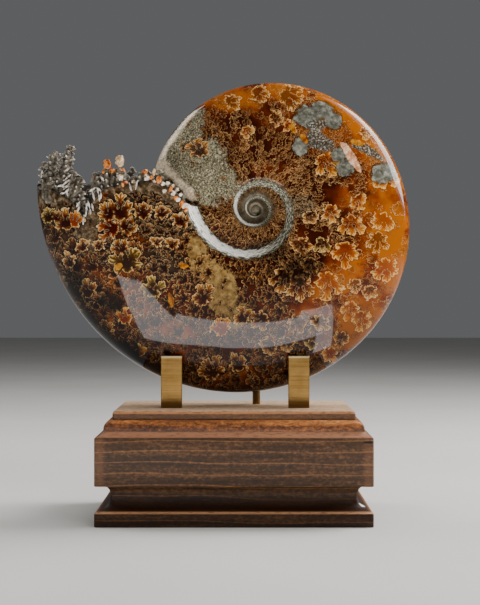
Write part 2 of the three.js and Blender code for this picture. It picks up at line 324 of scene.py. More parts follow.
def first_chamber(skin):
    """A small ball at the pole, where the innermost whorl begins."""
    ball = bmesh.new()
    bmesh.ops.create_icosphere(ball, subdivisions=3, radius=FIRST_CHAMBER_RADIUS)
    start = len(skin.points)
    bulge = 1.0 + half_thickness(math.radians(COIL_START)) * 0.3 / FIRST_CHAMBER_RADIUS
    for v in ball.verts:
        place = Vector((POLE_X + v.co.x, v.co.y * bulge, POLE_Z + v.co.z))
        skin.add(place, FIRST_CHAMBER_MAP, FIRST_CHAMBER_WALL)
    skin.faces += [tuple(start + v.index for v in f.verts) for f in ball.faces]
    ball.free()


def body_whorl(skin):
    """The outer turn from under its own end to the broken edge; front and back meet at the keel."""
    stations = [(math.radians(INNER_END + OUTER_STEP * i), 0.0) for i in range(OUTER_RINGS)]
    for i in range(1, BREAK_RINGS + 1):
        t = i / BREAK_RINGS
        stations.append((BREAK_BLEND_START + (BREAK_ANGLE - BREAK_BLEND_START) * t, t))
    rims = {}
    for side in (-1, 1):
        rings = []
        for theta, bend in stations:
            rings.append(skin.ring(theta, half_section(theta, OUTER_FLANK_STEPS), side, bend))
        rims[side] = skin.join(rings, side)
    return rims


def rough_wave(point, step, seed):
    """A repeatable uneven height from a few crossed waves, between about -1 and 1."""
    x, y, z = (c / step for c in point)
    return (
        math.sin(x * 1.7 + seed) * math.cos(z * 1.3 + 2 * seed)
        + 0.6 * math.sin(y * 3.1 + z * 2.3 + seed)
        + 0.4 * math.cos(x * 5.3 - y * 4.1 + 3 * seed)
    ) / 2


def cup_directions(point):
    """Unit directions away from the pole, and deeper into the coil, as they are at a point."""
    radial = Vector((point.x - POLE_X, 0, point.z - POLE_Z))
    return radial.normalized(), Vector((-radial.z, 0, radial.x)).normalized()


# Wall of the break: how far each ring lies in from the flank, and how deep, in millimetres
CUP_RINGS = [(1.6, -0.6), (3.2, 0.6), (4.2, 6.0), (5.0, 11.0)]
CUP_FLOOR_STEPS = 16
# Towards the keel the middle of the cup lies up to this far in, so that its wall closes there
CUP_KEEL_INSET = 14
# value of the wall map where there is no umbilical wall
NO_WALL = 3


def broken_cup(skin, rims):
    """The septum behind the broken edge: a wall set in from the flanks and a folded, sunken floor."""
    count = len(rims[-1])
    inner = {}
    for side, rim in rims.items():
        edge = [skin.points[i].copy() for i in rim]
        rings = [rim]
        for inset, sink in CUP_RINGS:
            ring = []
            for i, point in enumerate(edge):
                radial, deeper = cup_directions(point)
                inward = Vector((point.x, 0, point.z)) - radial * CUP_KEEL_INSET * (i / count) ** 6 - point
                moved = point + inward.normalized() * min(inset, inward.length * 0.8)
                moved += deeper * sink * min(inward.length / 6, 1)
                moved += deeper * 0.8 * rough_wave(point, 3.0, inset)
                ring.append(skin.add(moved, skin.maps[rim[i]], NO_WALL))
            rings.append(ring)
        inner[side] = skin.join(rings, side)
    rings = [inner[-1]]
    for step in range(1, CUP_FLOOR_STEPS):
        t = step / CUP_FLOOR_STEPS
        ring = []
        for i in range(count):
            a, b = skin.points[inner[-1][i]], skin.points[inner[1][i]]
            point = a.lerp(b, t)
            deeper = cup_directions(point)[1]
            depth = math.sin(math.pi * t) * min((a - b).length / 10, 2.5)
            point += deeper * (depth + 1.6 * rough_wave(point, 4.0, 5) * math.sin(math.pi * t))
            ring.append(skin.add(point, skin.maps[rims[-1][i]], NO_WALL))
        rings.append(ring)
    skin.join(rings + [inner[1]], -1)


# Minerals, painted shade and a painted highlight on the front flank, each made up of ovals:
# photograph pixel of the middle, half width and half height in pixels, turn in degrees
ZONES = {
    "grey_rock": [
        (174, 151, 28, 16, 52), (201, 162, 22, 20, 0), (220, 180, 19, 14, -35), (206, 190, 16, 14, 0),
        (190, 174, 20, 15, -45), (194, 120, 12, 9, 45), (210, 150, 11, 11, 0), (184, 134, 16, 15, 40),
    ],
    "clear_amber": [
        (385, 215, 20, 32, 10), (394, 258, 16, 34, 0), (365, 318, 28, 22, 40), (341, 268, 18, 20, 0),
        (236, 95, 34, 13, 5), (276, 91, 24, 10, -5), (352, 114, 22, 12, -35), (330, 96, 14, 8, -25),
        (392, 190, 12, 20, 15), (314, 232, 14, 12, -30), (308, 300, 22, 12, 20), (338, 196, 12, 10, 0),
        (350, 335, 20, 12, 30), (178, 330, 14, 8, -10), (100, 335, 14, 6, -50),
    ],
    "tan_rock": [
        (202, 262, 10, 22, 25), (220, 288, 15, 26, 25), (232, 312, 13, 14, 20), (197, 246, 6, 13, 20),
    ],
    "grey_ground": [
        (55, 215, 16, 50, 5), (78, 222, 30, 24, 0), (140, 210, 44, 18, 0), (64, 270, 15, 38, -15),
        (155, 215, 34, 20, -20), (110, 250, 18, 14, 0), (75, 300, 22, 26, -40), (185, 215, 18, 14, -30),
        (165, 262, 22, 14, -20), (300, 205, 14, 10, 0),
    ],
    "bare_crown": [
        (55, 182, 24, 21, 0), (87, 210, 13, 34, 0), (134, 178, 46, 13, 0), (73, 187, 16, 16, 0),
        (170, 192, 16, 8, -40),
    ],
    "dark_glass": [
        (307, 115, 12, 10, 10), (322, 110, 11, 9, 0), (333, 120, 8, 9, 0), (300, 146, 7, 8, 0),
        (339, 154, 7, 7, 30), (346, 166, 8, 9, -40), (384, 172, 11, 9, 20),
    ],
    "silver_streaks": [
        (369, 150, 15, 4, -30), (360, 146, 6, 4, -10), (317, 124, 9, 5, 10), (322, 143, 13, 6, -10),
        (315, 136, 8, 5, 0),
    ],
    "pink_streak": [
        (346, 148, 7, 3, -52), (352, 157, 8, 4, -55), (357, 166, 6, 2.5, -58),
    ],
    # the lower ovals are the cream rim of the break; the upper three are a painted highlight along the left
    # rim
    "rim_cream_and_highlight": [
        (161, 164, 7, 6, -30), (170, 172, 11, 3.8, -42), (181, 183, 11, 3.2, -46), (190, 193, 8, 4.2, -55),
        (163, 153, 9, 3.4, 55), (173, 138, 11, 2.8, 53), (186, 121, 11, 2.2, 48),
    ],
    "deep_shade": [
        (62, 300, 22, 34, -30), (85, 330, 26, 20, -45), (118, 355, 28, 18, -35), (150, 375, 30, 12, -20),
        (110, 300, 12, 10, 0), (300, 268, 22, 12, 20), (270, 250, 18, 10, 0),
    ],
    "yellow_spots": [
        (183, 265, 7, 2.6, -8), (171, 300, 3, 7, 10), (118, 266, 5, 3, 20), (293, 128, 3, 5, 30),
        (304, 138, 3, 6, 30), (143, 349, 5, 3, -20), (358, 142, 7, 3, -10),
    ],
}
# These two belong to the broken crown, so the back flank has them in the same place
UNTURNED_ZONES = ("rim_cream_and_highlight", "bare_crown")


def placed(spots):
    """The same ovals in millimetres on the flank."""
    out = []
    for px, py, half_width, half_height, turn in spots:
        middle = flank_place(px, py)
        step = pixel_size(middle.y)
        out.append((middle.x, middle.z, half_width * step, half_height * step, turn))
    return out


def spot_strength(x, z, spots):
    """1 in the middle of the nearest oval spot, falling to 0 well outside it."""
    best = 0.0
    for cx, cz, half_width, half_height, turn in spots:
        angle = math.radians(turn)
        dx = (x - cx) * math.cos(angle) + (z - cz) * math.sin(angle)
        dz = -(x - cx) * math.sin(angle) + (z - cz) * math.cos(angle)
        reach = math.hypot(dx / half_width, dz / half_height)
        best = max(best, 1 - reach / 2)
    return best


def turned(x, z):
    """A place on the front flank moved round the pole to where the back flank repeats it."""
    dx, dz = x - POLE_X, z - POLE_Z
    c, s = math.cos(BACK_TURN), math.sin(BACK_TURN)
    return POLE_X + dx * c - dz * s, POLE_Z + dx * s + dz * c


def store(mesh, name, values, domain="POINT"):
    mesh.attributes.new(name, "FLOAT", domain).data.foreach_set("value", values)


def store_vectors(mesh, name, values, domain="POINT"):
    mesh.attributes.new(name, "FLOAT_VECTOR", domain).data.foreach_set("vector", values)


def mark_zones(mesh, points):
    """Stores how strongly every mineral, painted shade and painted highlight shows at every point of the
    skin.
    """
    for name, pixels in ZONES.items():
        spots = placed(pixels)
        behind = spots if name in UNTURNED_ZONES else [(*turned(x, z), *rest) for x, z, *rest in spots]
        strengths = []
        for p in points:
            share = min(max(p.y / KEEL_BLEND + 0.5, 0), 1)
            front = spot_strength(p.x, p.z, spots) if share < 1 else 0
            back = spot_strength(p.x, p.z, behind) if share > 0 else 0
            strengths.append(front + (back - front) * share)
        store(mesh, name, strengths)


# Large leaves where the photograph shows them: pixel of the foot, length in pixels, turn from
# upright, tint; tints are 0 brown, 1 red brown, 2 amber with yellow tips, 3 olive
LARGE_LEAVES = [
    (49, 217, 13, -12, 3), (57, 217, 11, 12, 0), (66, 222, 17, -5, 0), (74, 221, 14, 22, 2),
    (120, 211, 20, 2, 0), (109, 213, 16, -42, 0), (112, 228, 17, -78, 1), (126, 226, 14, 50, 0),
    (143, 212, 15, 0, 0), (162, 213, 12, 6, 0), (180, 221, 13, 12, 0), (83, 246, 12, 0, 0),
    (99, 246, 9, -10, 0), (126, 262, 24, -14, 3), (121, 248, 14, -32, 0), (157, 242, 9, 2, 0),
    (199, 150, 15, -8, 0), (172, 244, 10, 5, 0), (152, 290, 17, 0, 3), (203, 297, 16, -22, 0),
    (222, 328, 16, -28, 2), (243, 317, 14, -12, 0), (124, 318, 12, 10, 2), (106, 331, 15, -20, 0),
    (140, 352, 8, 0, 2), (212, 371, 18, -32, 0), (238, 365, 14, -22, 0), (88, 291, 14, -12, 0),
    (101, 301, 12, 20, 0), (60, 286, 13, -30, 0), (75, 311, 12, -30, 3), (118, 345, 12, -35, 2),
    (70, 262, 11, -20, 0), (345, 249, 20, 180, 2), (328, 279, 20, 184, 2), (386, 266, 19, 176, 2),
    (310, 262, 14, 204, 0), (300, 283, 18, 178, 0), (283, 275, 17, 190, 0), (301, 243, 16, 168, 0),
    (378, 238, 15, 186, 0), (352, 307, 14, 205, 2), (361, 316, 15, 186, 2), (297, 321, 14, 212, 0),
    (320, 320, 13, 192, 0), (287, 341, 12, 218, 0), (312, 343, 9, 200, 3), (351, 222, 17, 178, 2),
    (384, 219, 17, 182, 2), (322, 242, 13, 180, 3), (381, 180, 12, 172, 2), (392, 176, 11, 170, 2),
    (325, 160, 17, 148, 2), (258, 92, 14, 100, 0), (288, 94, 19, 112, 0), (288, 125, 10, 120, 2),
    (247, 130, 9, 120, 2), (262, 318, 15, 235, 0), (270, 344, 13, 225, 0), (330, 352, 13, 205, 2),
    (342, 336, 12, 200, 0), (370, 290, 12, 190, 0), (355, 283, 11, 185, 0), (330, 210, 13, 165, 2),
    (358, 198, 12, 165, 2), (310, 215, 11, 160, 0), (365, 130, 10, 130, 0), (230, 100, 13, 80, 0),
    (275, 118, 12, 105, 0),
]
LEAF_TINTS = 4
# Leaves are drawn this much longer than they measure, and reach this many lengths from the foot
LEAF_STRETCH = 1.12
LEAF_REACH = 1.12
# The keel stays free of large leaves for this many millimetres to each side
LEAF_KEEL_GAP = 2.5


def mark_leaves(mesh, flank_faces):
    """Tells every face of the flank which large leaf lies over it."""
    front = []
    for px, py, length, turn, tint in LARGE_LEAVES:
        foot = flank_place(px, py)
        reach = LEAF_STRETCH * length * pixel_size(foot.y)
        front.append((foot.x, foot.z, reach, math.radians(90 - turn), (tint + 0.5) / LEAF_TINTS))
    back = [(*turned(x, z), reach, way + BACK_TURN, tint) for x, z, reach, way, tint in front]
    feet, turns, tints = [], [], []
    for face in mesh.polygons:
        middle = face.center / MM
        best = (0, 0, 0, 0, 0)
        if face.index < flank_faces and abs(middle.y) > LEAF_KEEL_GAP:
            nearest = LEAF_REACH
            for leaf in (front if middle.y < 0 else back):
                far = math.hypot(middle.x - leaf[0], middle.z - leaf[1]) / leaf[2]
                if far < nearest:
                    nearest, best = far, leaf
        feet += best[:3]
        turns.append(best[3])
        tints.append(best[4])
    store_vectors(mesh, "leaf_foot", feet, "FACE")
    store(mesh, "leaf_turn", turns, "FACE")
    store(mesh, "leaf_tint", tints, "FACE")


def shell_piece(material):
    skin = ShellSkin()
    inner_whorls(skin)
    first_chamber(skin)
    rims = body_whorl(skin)
    flank_faces = len(skin.faces)
    broken_cup(skin, rims)
    mesh = bpy.data.meshes.new("polished_shell")
    mesh.from_pydata([p * MM for p in skin.points], [], skin.faces)
    store_vectors(mesh, "growth_map", [c for m in skin.maps for c in m])
    store(mesh, "shoulder_ratio", skin.walls)
    mark_zones(mesh, skin.points)
    cup = [0.0] * len(skin.points)
    for face in skin.faces[flank_faces:]:
        for i in face:
            cup[i] = 1.0
    store(mesh, "broken_face", cup)
    mark_leaves(mesh, flank_faces)
    joined = bmesh.new()
    joined.from_mesh(mesh)
    bmesh.ops.remove_doubles(joined, verts=joined.verts, dist=0.01 * MM)
    joined.to_mesh(mesh)
    joined.free()
    mesh.shade_smooth()
    return new_piece("polished_shell", mesh, material)


# Node helpers


class Wire:
    """A value on its way through a shader; arithmetic with it adds the nodes that work it out."""

    def __init__(self, net, socket):
        self.net = net
        self.socket = socket

    def __add__(self, other):
        return self.net.math("ADD", self, other)

    def __sub__(self, other):
        return self.net.math("SUBTRACT", self, other)

    def __rsub__(self, other):
        return self.net.math("SUBTRACT", other, self)

    def __mul__(self, other):
        return self.net.math("MULTIPLY", self, other)

    def __truediv__(self, other):
        return self.net.math("DIVIDE", self, other)

    def __rtruediv__(self, other):
        return self.net.math("DIVIDE", other, self)


class Step:
    """One node of a shader; step[name or number] is what it gives out."""

    def __init__(self, net, node):
        self.net = net
        self.node = node

    def __getitem__(self, key):
        return Wire(self.net, self.node.outputs[key])


class Net:
    """Adds nodes to one tree, with wires or plain values as inputs."""

    def __init__(self, tree):
        self.tree = tree

    def feed(self, socket, value):
        if isinstance(value, Wire):
            self.tree.links.new(value.socket, socket)
        else:
            socket.default_value = value

    def put(self, kind, inputs=None, **settings):
        node = self.tree.nodes.new(kind)
        for name, value in settings.items():
            setattr(node, name, value)
        for key, value in (inputs or {}).items():
            self.feed(node.inputs[key], value)
        return Step(self, node)

    def math(self, operation, a, b=0.0, c=0.0, clamp=False):
        return self.put("ShaderNodeMath", {0: a, 1: b, 2: c}, operation=operation, use_clamp=clamp)[0]

    def line(self, value, slope, start):
        """slope * value + start"""
        return self.math("MULTIPLY_ADD", value, slope, start)

    def vector(self, operation, a, b=(0, 0, 0)):
        step = self.put("ShaderNodeVectorMath", {0: a, 1: b}, operation=operation)
        return step["Value" if operation == "LENGTH" else "Vector"]

    def scale(self, vector, factor):
        return self.put("ShaderNodeVectorMath", {0: vector, "Scale": factor}, operation="SCALE")["Vector"]

    def spin(self, vector, angle):
        """A vector turned about the Z axis."""
        inputs = {"Vector": vector, "Angle": angle, "Center": (0, 0, 0), "Axis": (0, 0, 1)}
        return self.put("ShaderNodeVectorRotate", inputs, rotation_type="AXIS_ANGLE")["Vector"]

    def split(self, vector):
        return self.put("ShaderNodeSeparateXYZ", {0: vector})

    def flat(self, x, y):
        return self.put("ShaderNodeCombineXYZ", {0: x, 1: y})["Vector"]

    def place(self):
        """The place on the object, in metres."""
        return self.put("ShaderNodeTexCoord")["Object"]

    def millimetres(self, place):
        return self.split(self.scale(place, 1 / MM))

    def mix(self, factor, a, b):
        step = self.put("ShaderNodeMix", data_type="RGBA", blend_type="MIX", clamp_factor=True)
        for key, value in ((0, factor), (6, a), (7, b)):
            self.feed(step.node.inputs[key], value)
        return step[2]

    def smooth(self, value, low, high):
        inputs = {"Value": value, "From Min": low, "From Max": high}
        return self.put("ShaderNodeMapRange", inputs, interpolation_type="SMOOTHSTEP")["Result"]

    def band(self, value, low, rise, fall, high):
        """1 between rise and fall, softly down to 0 at low and high."""
        return self.smooth(value, low, rise) * self.smooth(value, high, fall)

    def attribute(self, name, output="Fac"):
        return self.put("ShaderNodeAttribute", attribute_name=name)[output]

    def noise(self, vector, scale, detail=2.0, roughness=0.5, output="Fac", kind="3D"):
        inputs = {"Vector": vector, "Scale": scale, "Detail": detail, "Roughness": roughness}
        return self.put("ShaderNodeTexNoise", inputs, noise_dimensions=kind)[output]

    def stretched_noise(self, vector, stretch, detail=2.0, roughness=0.5):
        return self.noise(self.vector("MULTIPLY", vector, stretch), 1.0, detail, roughness)

    def drift(self, vector, scale, reach, kind="3D"):
        """A soft wandering, up to half the reach each way."""
        wander = self.noise(vector, scale, 1.0, 0.6, "Color", kind)
        return self.scale(self.vector("SUBTRACT", wander, (0.5, 0.5, 0.5)), reach)

    def ramp(self, value, stops, interpolation="LINEAR"):
        step = self.put("ShaderNodeValToRGB", {"Fac": value})
        bar = step.node.color_ramp
        bar.interpolation = interpolation
        while len(bar.elements) < len(stops):
            bar.elements.new(0.5)
        for element, (place, colour) in zip(bar.elements, stops):
            element.position = place
            element.color = colour
        return step["Color"]

    def tones(self, value, *stops):
        """Colours as seen along a value, each stop as (place, red, green, blue)."""
        return self.ramp(value, [(place, shade(*tone)) for place, *tone in stops])

    def layers(self, base, *layers):
        """Lays colours over a base one after another, each as (cover, colour)."""
        for cover, colour in layers:
            base = self.mix(cover, base, colour)
        return base


def shade(red, green, blue):
    """A colour as seen, 0 to 255, turned into the linear values that shaders use."""
    parts = [c / 255 for c in (red, green, blue)]
    return (*[c / 12.92 if c <= 0.04045 else ((c + 0.055) / 1.055) ** 2.4 for c in parts], 1.0)


def new_group(name, inputs, outputs):
    """A shader node group with named sockets; inputs are (name, kind, default)."""
    group = bpy.data.node_groups.new(name, "ShaderNodeTree")
    for socket_name, kind, default in inputs:
        socket = group.interface.new_socket(socket_name, in_out="INPUT", socket_type="NodeSocket" + kind)
        if default is not None:
            socket.default_value = default
    for socket_name, kind in outputs:
        group.interface.new_socket(socket_name, in_out="OUTPUT", socket_type="NodeSocket" + kind)
    net = Net(group)
    given = net.put("NodeGroupInput")
    return group, net, given, net.put("NodeGroupOutput").node.inputs


def place_group(net, group, **values):
    step = net.put("ShaderNodeGroup", node_tree=group)
    for name, value in values.items():
        net.feed(step.node.inputs[name.replace("_", " ")], value)
    return step


def new_material(name):
    material = bpy.data.materials.new(name)
    material.use_nodes = True
    material.node_tree.nodes.clear()
    net = Net(material.node_tree)
    surface = net.put("ShaderNodeBsdfPrincipled")
    net.put("ShaderNodeOutputMaterial", {"Surface": surface["BSDF"]})
    return material, net, surface.node.inputs


def dress(net, surface, colour, roughness, relief, strength, depth):
    """Colour, roughness and a fine relief for a surface; depth is in metres."""
    net.feed(surface["Base Color"], colour)
    net.feed(surface["Roughness"], roughness)
    bump = net.put("ShaderNodeBump", {"Height": relief, "Strength": strength, "Distance": depth})
    net.feed(surface["Normal"], bump["Normal"])


# Suture pattern


def leaf_shape_group():
    """One lobed leaf round the origin, fingers towards +X, over whatever colour lies below it."""
    group, net, given, out = new_group(
        "suture_leaf",
        [
            ("Ground", "Color", (0.1, 0.05, 0.02, 1)),
            ("Local", "Vector", None),
            ("Gauge", "Float", 8.0),
            ("Seed", "Float", 0.5),
            ("Shown", "Float", 1.0),
            ("Lobes", "Float", 9.0),
            ("Web", "Float", 0.3),
            ("Line Width", "Float", 0.25),
            ("Shadow", "Float", 0.7),
            ("Core", "Color", shade(40, 12, 3)),
            ("Body", "Color", shade(112, 44, 8)),
            ("Tip", "Color", shade(206, 128, 40)),
            ("Line", "Color", shade(222, 192, 146)),
        ],
        [("Color", "Color")],
    )
    leaf = net.vector("ADD", given["Local"], (0.15, 0, 0))
    at = net.split(leaf)
    rho = net.vector("LENGTH", leaf)
    angle = net.math("ARCTAN2", at[1], at[0])
    sector = 2 * math.pi / given["Lobes"]
    index = net.math("ROUND", angle / sector)
    finger_angle = index * sector
    off = angle - finger_angle
    along = rho * net.math("COSINE", off)
    aside = net.math("ABSOLUTE", rho * net.math("SINE", off))
    seed = net.flat(index, net.math("FLOOR", given["Seed"] * 997.0))
    draw = net.put("ShaderNodeTexWhiteNoise", {"Vector": seed}, noise_dimensions="2D")["Value"]
    # long lobes in front, short ones towards the stem
    length = net.line(net.math("COSINE", finger_angle * 0.8), 0.62, 0.34) * net.line(draw, 0.36, 0.78)
    length = net.math("MAXIMUM", length, 0.24)

    def finger(start, end, radius):
        """Distance to a rounded finger; start and end are (back from the tip, sideways)."""
        span_x, span_y = start[0] - end[0], end[1] - start[1]
        dx = along - (length - start[0])
        dy = aside - start[1]
        reach = net.math("DIVIDE", dx * span_x + dy * span_y, span_x * span_x + span_y * span_y, clamp=True)
        dx = dx - reach * span_x
        dy = dy - reach * span_y
        return net.math("SQRT", dx * dx + dy * dy) - net.line(reach, 0.25 * radius, radius)

    edge = finger((0.8, 0.0), (0.07, 0.0), 0.062)
    edge = net.math("MINIMUM", edge, finger((0.4, 0.01), (0.13, 0.165), 0.054))
    edge = net.math("MINIMUM", edge, finger((0.58, 0.01), (0.39, 0.135), 0.046))
    # distance to the outline, of fingers and web, in millimetres
    edge = net.math("MINIMUM", edge, rho - length * given["Web"]) * given["Gauge"]
    outwards = net.math("DIVIDE", rho, length, clamp=True)
    # the leaf fades where it runs back into its stem
    shown = given["Shown"] * net.smooth(at[0], -0.5, -0.05)
    inside = net.smooth(edge, 0.1, -0.1) * shown
    glow = net.smooth(edge, -1.1, 0.0) * net.smooth(outwards, 0.5, 1.0)
    body = net.mix(net.smooth(outwards, 0.2, 0.85), given["Core"], given["Body"])
    body = net.mix(glow, body, given["Tip"])
    shadow = net.smooth(edge, 1.3, 0.2) * shown * given["Shadow"]
    colour = net.mix(inside, net.mix(shadow, given["Ground"], shade(26, 10, 3)), body)
    line = net.math("ABSOLUTE", edge - 0.08) / given["Line Width"]
    line = net.math("SUBTRACT", 1.3, line, clamp=True) * shown
    line = line * net.line(net.smooth(outwards, 0.35, 1.0), 0.6, 0.4)
    net.feed(out["Color"], net.mix(line, colour, given["Line"]))
    return group


def leaf_cells_group():
    """Scatters leaves over the growth map, one in each cell, all pointing the way the shell grew."""
    group, net, given, out = new_group(
        "leaf_cells",
        [
            ("Map", "Vector", None),
            ("Cells", "Float", 6.0),
            ("Shift", "Float", 0.0),
            ("Reach", "Float", 0.52),
            ("Cover", "Float", 0.7),
        ],
        [("Local", "Vector"), ("Gauge", "Float"), ("Seed", "Float"), ("Shown", "Float"), ("Tint", "Float")],
    )
    growth = net.split(given["Map"])
    flat = net.flat(growth[0], growth[1])
    # millimetres on the shell for one unit of the map
    reach = net.vector("LENGTH", flat) * MAP_POWER
    grain = net.math("POWER", reach, (1 - MAP_POWER) / MAP_POWER) * KEEL_RADIUS
    cells = net.vector("ADD", net.scale(flat, given["Cells"]), net.flat(given["Shift"], given["Shift"]))
    cells = net.vector("ADD", cells, net.drift(cells, 2.3, 0.34, "2D"))
    inputs = {"Vector": cells, "Scale": 1.0, "Randomness": 0.75}
    cell = net.put("ShaderNodeTexVoronoi", inputs, voronoi_dimensions="2D")
    chance = net.split(cell["Color"])
    local = net.vector("SUBTRACT", cells, cell["Position"])
    size = given["Reach"] * net.line(chance[0], 0.5, 0.75)
    turn = net.line(growth[2], -MAP_POWER, -math.pi / 2) + net.line(chance[1], 1.3, -0.65)
    net.feed(out["Local"], net.scale(net.spin(local, turn), 1.0 / size))
    net.feed(out["Gauge"], size * grain / given["Cells"])
    net.feed(out["Seed"], chance[1])
    net.feed(out["Shown"], net.math("LESS_THAN", chance[2], given["Cover"]))
    net.feed(out["Tint"], chance[0])
    return group


# Three scatters of small leaves: cells, shift, reach, lobes, cover, line width
SMALL_LEAVES = [
    (19.0, 3.0, 0.68, 6.0, 0.55, 0.1), (12.0, 11.0, 0.72, 6.0, 0.8, 0.12), (8.0, 23.0, 0.72, 7.0, 0.85, 0.15),
]
# Colours of the large leaves in each tint
LEAF_BODY = [(98, 43, 10), (112, 38, 7), (156, 76, 9), (90, 60, 14)]
LEAF_TIP = [(202, 152, 78), (202, 138, 66), (230, 176, 76), (188, 162, 84)]
LEAF_CORE = [(58, 21, 5), (72, 18, 4), (132, 60, 4), (58, 32, 9)]


def polished_fossil_material(leaf_shape, leaf_cells):
    material, net, surface = new_material("polished_fossil")
    growth = net.attribute("growth_map", "Vector")
    place = net.place()
    broad = net.noise(place, 24.0, 2.0, 0.5)
    cloud = net.noise(place, 55.0, 3.0, 0.55)
    mottle = net.noise(place, 160.0, 3.0, 0.6)
    ragged = net.noise(place, 330.0, 3.0, 0.65)
    frayed = net.noise(place, 900.0, 2.0, 0.6)
    speckle = net.noise(place, 1100.0, 2.0, 0.75) * 0.8 + mottle * 0.2
    wobble = net.line(mottle, 0.55, -0.275) + net.line(ragged, 0.35, -0.175) + net.line(frayed, 0.24, -0.12)

    def zone(name, softness, level=0.42):
        """Where a mineral lies, with a ragged edge."""
        return net.smooth(net.attribute(name) + wobble, level - softness, level + softness)

    clear = zone("clear_amber", 0.14)
    rock = zone("grey_rock", 0.09, 0.4)
    tan = zone("tan_rock", 0.05)
    ground = zone("grey_ground", 0.12)
    crown = zone("bare_crown", 0.06, 0.4)

    here = net.millimetres(place)
    here_x, here_z = here[0] - POLE_X, here[2] - POLE_Z
    from_pole = net.math("SQRT", here_x * here_x + here_z * here_z)
    # towards the upper right the calcite is clear, so leaves there are little more than outlines
    murk = here[0] * -0.9 + here[2] * -0.55 + (broad - 0.5) * 60.0
    murk = net.line(net.smooth(murk, -140.0, -75.0), 0.8, 0.2)

    # the amber is thinner and brighter towards the keel
    depth = cloud * 0.6 + broad * 0.4 + net.line(murk, -0.12, 0.07) + clear * 0.1
    depth = net.smooth(depth + net.line(net.smooth(from_pole, 34.0, 80.0), 0.2, -0.16), 0.4, 0.7)
    base = net.tones(depth, (0.0, 66, 26, 5), (0.35, 108, 48, 9), (0.7, 144, 76, 13), (1.0, 172, 106, 22))
    base = net.layers(
        base,
        (ground * 0.9, net.tones(mottle, (0.3, 30, 24, 18), (0.55, 66, 54, 40), (0.8, 106, 92, 72))),
        (crown, net.tones(ragged, (0.3, 52, 41, 28), (0.5, 100, 83, 62), (0.72, 166, 149, 124))),
        (tan, net.tones(ragged, (0.3, 104, 80, 46), (0.5, 150, 124, 78), (0.75, 186, 160, 112))),
        (rock, net.tones(
            speckle, (0.36, 50, 43, 29), (0.45, 112, 105, 85), (0.57, 160, 152, 129), (0.68, 220, 212, 186),
        )),
    )

    calm = (1.0 - clear * 0.62) * (1.0 - tan * 0.75) * (1.0 - rock * 0.92) * (1.0 - crown)
    for cells, shift, reach, lobes, cover, line in SMALL_LEAVES:
        spot = place_group(
            net, leaf_cells, Map=growth, Cells=cells, Shift=shift, Reach=reach, Cover=calm * cover,
        )
        brown = net.mix(spot["Tint"], shade(40, 16, 6), shade(94, 42, 11))
        pale = net.mix(spot["Tint"], shade(128, 98, 64), shade(218, 184, 134))
        base = place_group(
            net, leaf_shape, Ground=base, Local=spot["Local"], Gauge=spot["Gauge"], Seed=spot["Seed"],
            Shown=spot["Shown"], Lobes=lobes, Line_Width=line, Shadow=murk * 0.7,
            Core=net.mix(murk, base, shade(52, 18, 5)),
            Body=net.mix(murk * 0.65, base, net.mix(ground * 0.6, brown, shade(56, 44, 29))),
            Tip=net.mix(0.5, base, shade(168, 108, 42)),
            Line=net.mix(ground * 0.65, pale, shade(172, 160, 132)),
        )["Color"]

    # the large leaves lie on top, each in its own place
    foot = net.split(net.attribute("leaf_foot", "Vector"))
    local = net.flat(here[0] - foot[0], here[2] - foot[1])
    local = net.vector("ADD", local, net.drift(place, 300.0, 4.2))
    local = net.spin(local, net.attribute("leaf_turn") * -1.0)
    size = net.math("MAXIMUM", foot[2], 0.001)
    tint = net.attribute("leaf_tint")
    body, tip, core = (
        net.ramp(tint, [(i / LEAF_TINTS, shade(*tone)) for i, tone in enumerate(tones)], "CONSTANT")
        for tones in (LEAF_BODY, LEAF_TIP, LEAF_CORE)
    )
    base = place_group(
        net, leaf_shape, Ground=base, Local=net.scale(local, 1.0 / size), Gauge=size,
        Seed=net.math("FRACT", foot[0] * 0.37), Shown=net.math("GREATER_THAN", foot[2], 0.01),
        Lobes=8.0, Line_Width=0.18, Shadow=murk * 0.7, Core=net.mix(murk, net.mix(0.4, base, core), core),
        Body=net.mix(murk, net.mix(0.5, base, body), body), Tip=tip,
        Line=net.mix(ground * 0.6, shade(222, 192, 146), shade(206, 196, 164)),
    )["Color"]

    # dark glass over its fringe, silver and pink streaks, yellow spots, the shaded lower flank,
    # and the first whorls, which are dull grey-green
    glass = zone("dark_glass", 0.03, 0.46)
    pebbled = ragged * 0.6 + mottle * 0.4
    silver = zone("silver_streaks", 0.06) * 0.9
    glint = speckle * 0.5 + frayed * 0.5
    pink = zone("pink_streak", 0.05) * 0.9
    shaded = zone("deep_shade", 0.3, 0.45) * 0.66 + net.smooth(here[2], 165.0, 95.0) * 0.5
    young = net.smooth(from_pole, 14.0, 9.0) * 0.85
    base = net.layers(
        base,
        (zone("dark_glass", 0.06, 0.34) * 0.55, shade(48, 40, 28)),
        (glass, net.tones(pebbled, (0.36, 78, 78, 68), (0.5, 120, 119, 108), (0.66, 172, 170, 157))),
        (silver, net.tones(glint, (0.42, 64, 63, 56), (0.52, 108, 106, 96), (0.66, 222, 214, 198))),
        (pink, net.tones(ragged, (0.36, 190, 130, 88), (0.62, 246, 212, 180))),
        (zone("yellow_spots", 0.06, 0.5), net.tones(ragged, (0.35, 140, 74, 6), (0.65, 208, 158, 62))),
        (shaded, shade(16, 7, 3)),
        (young, net.tones(ragged, (0.3, 56, 50, 38), (0.7, 122, 113, 94))),
    )
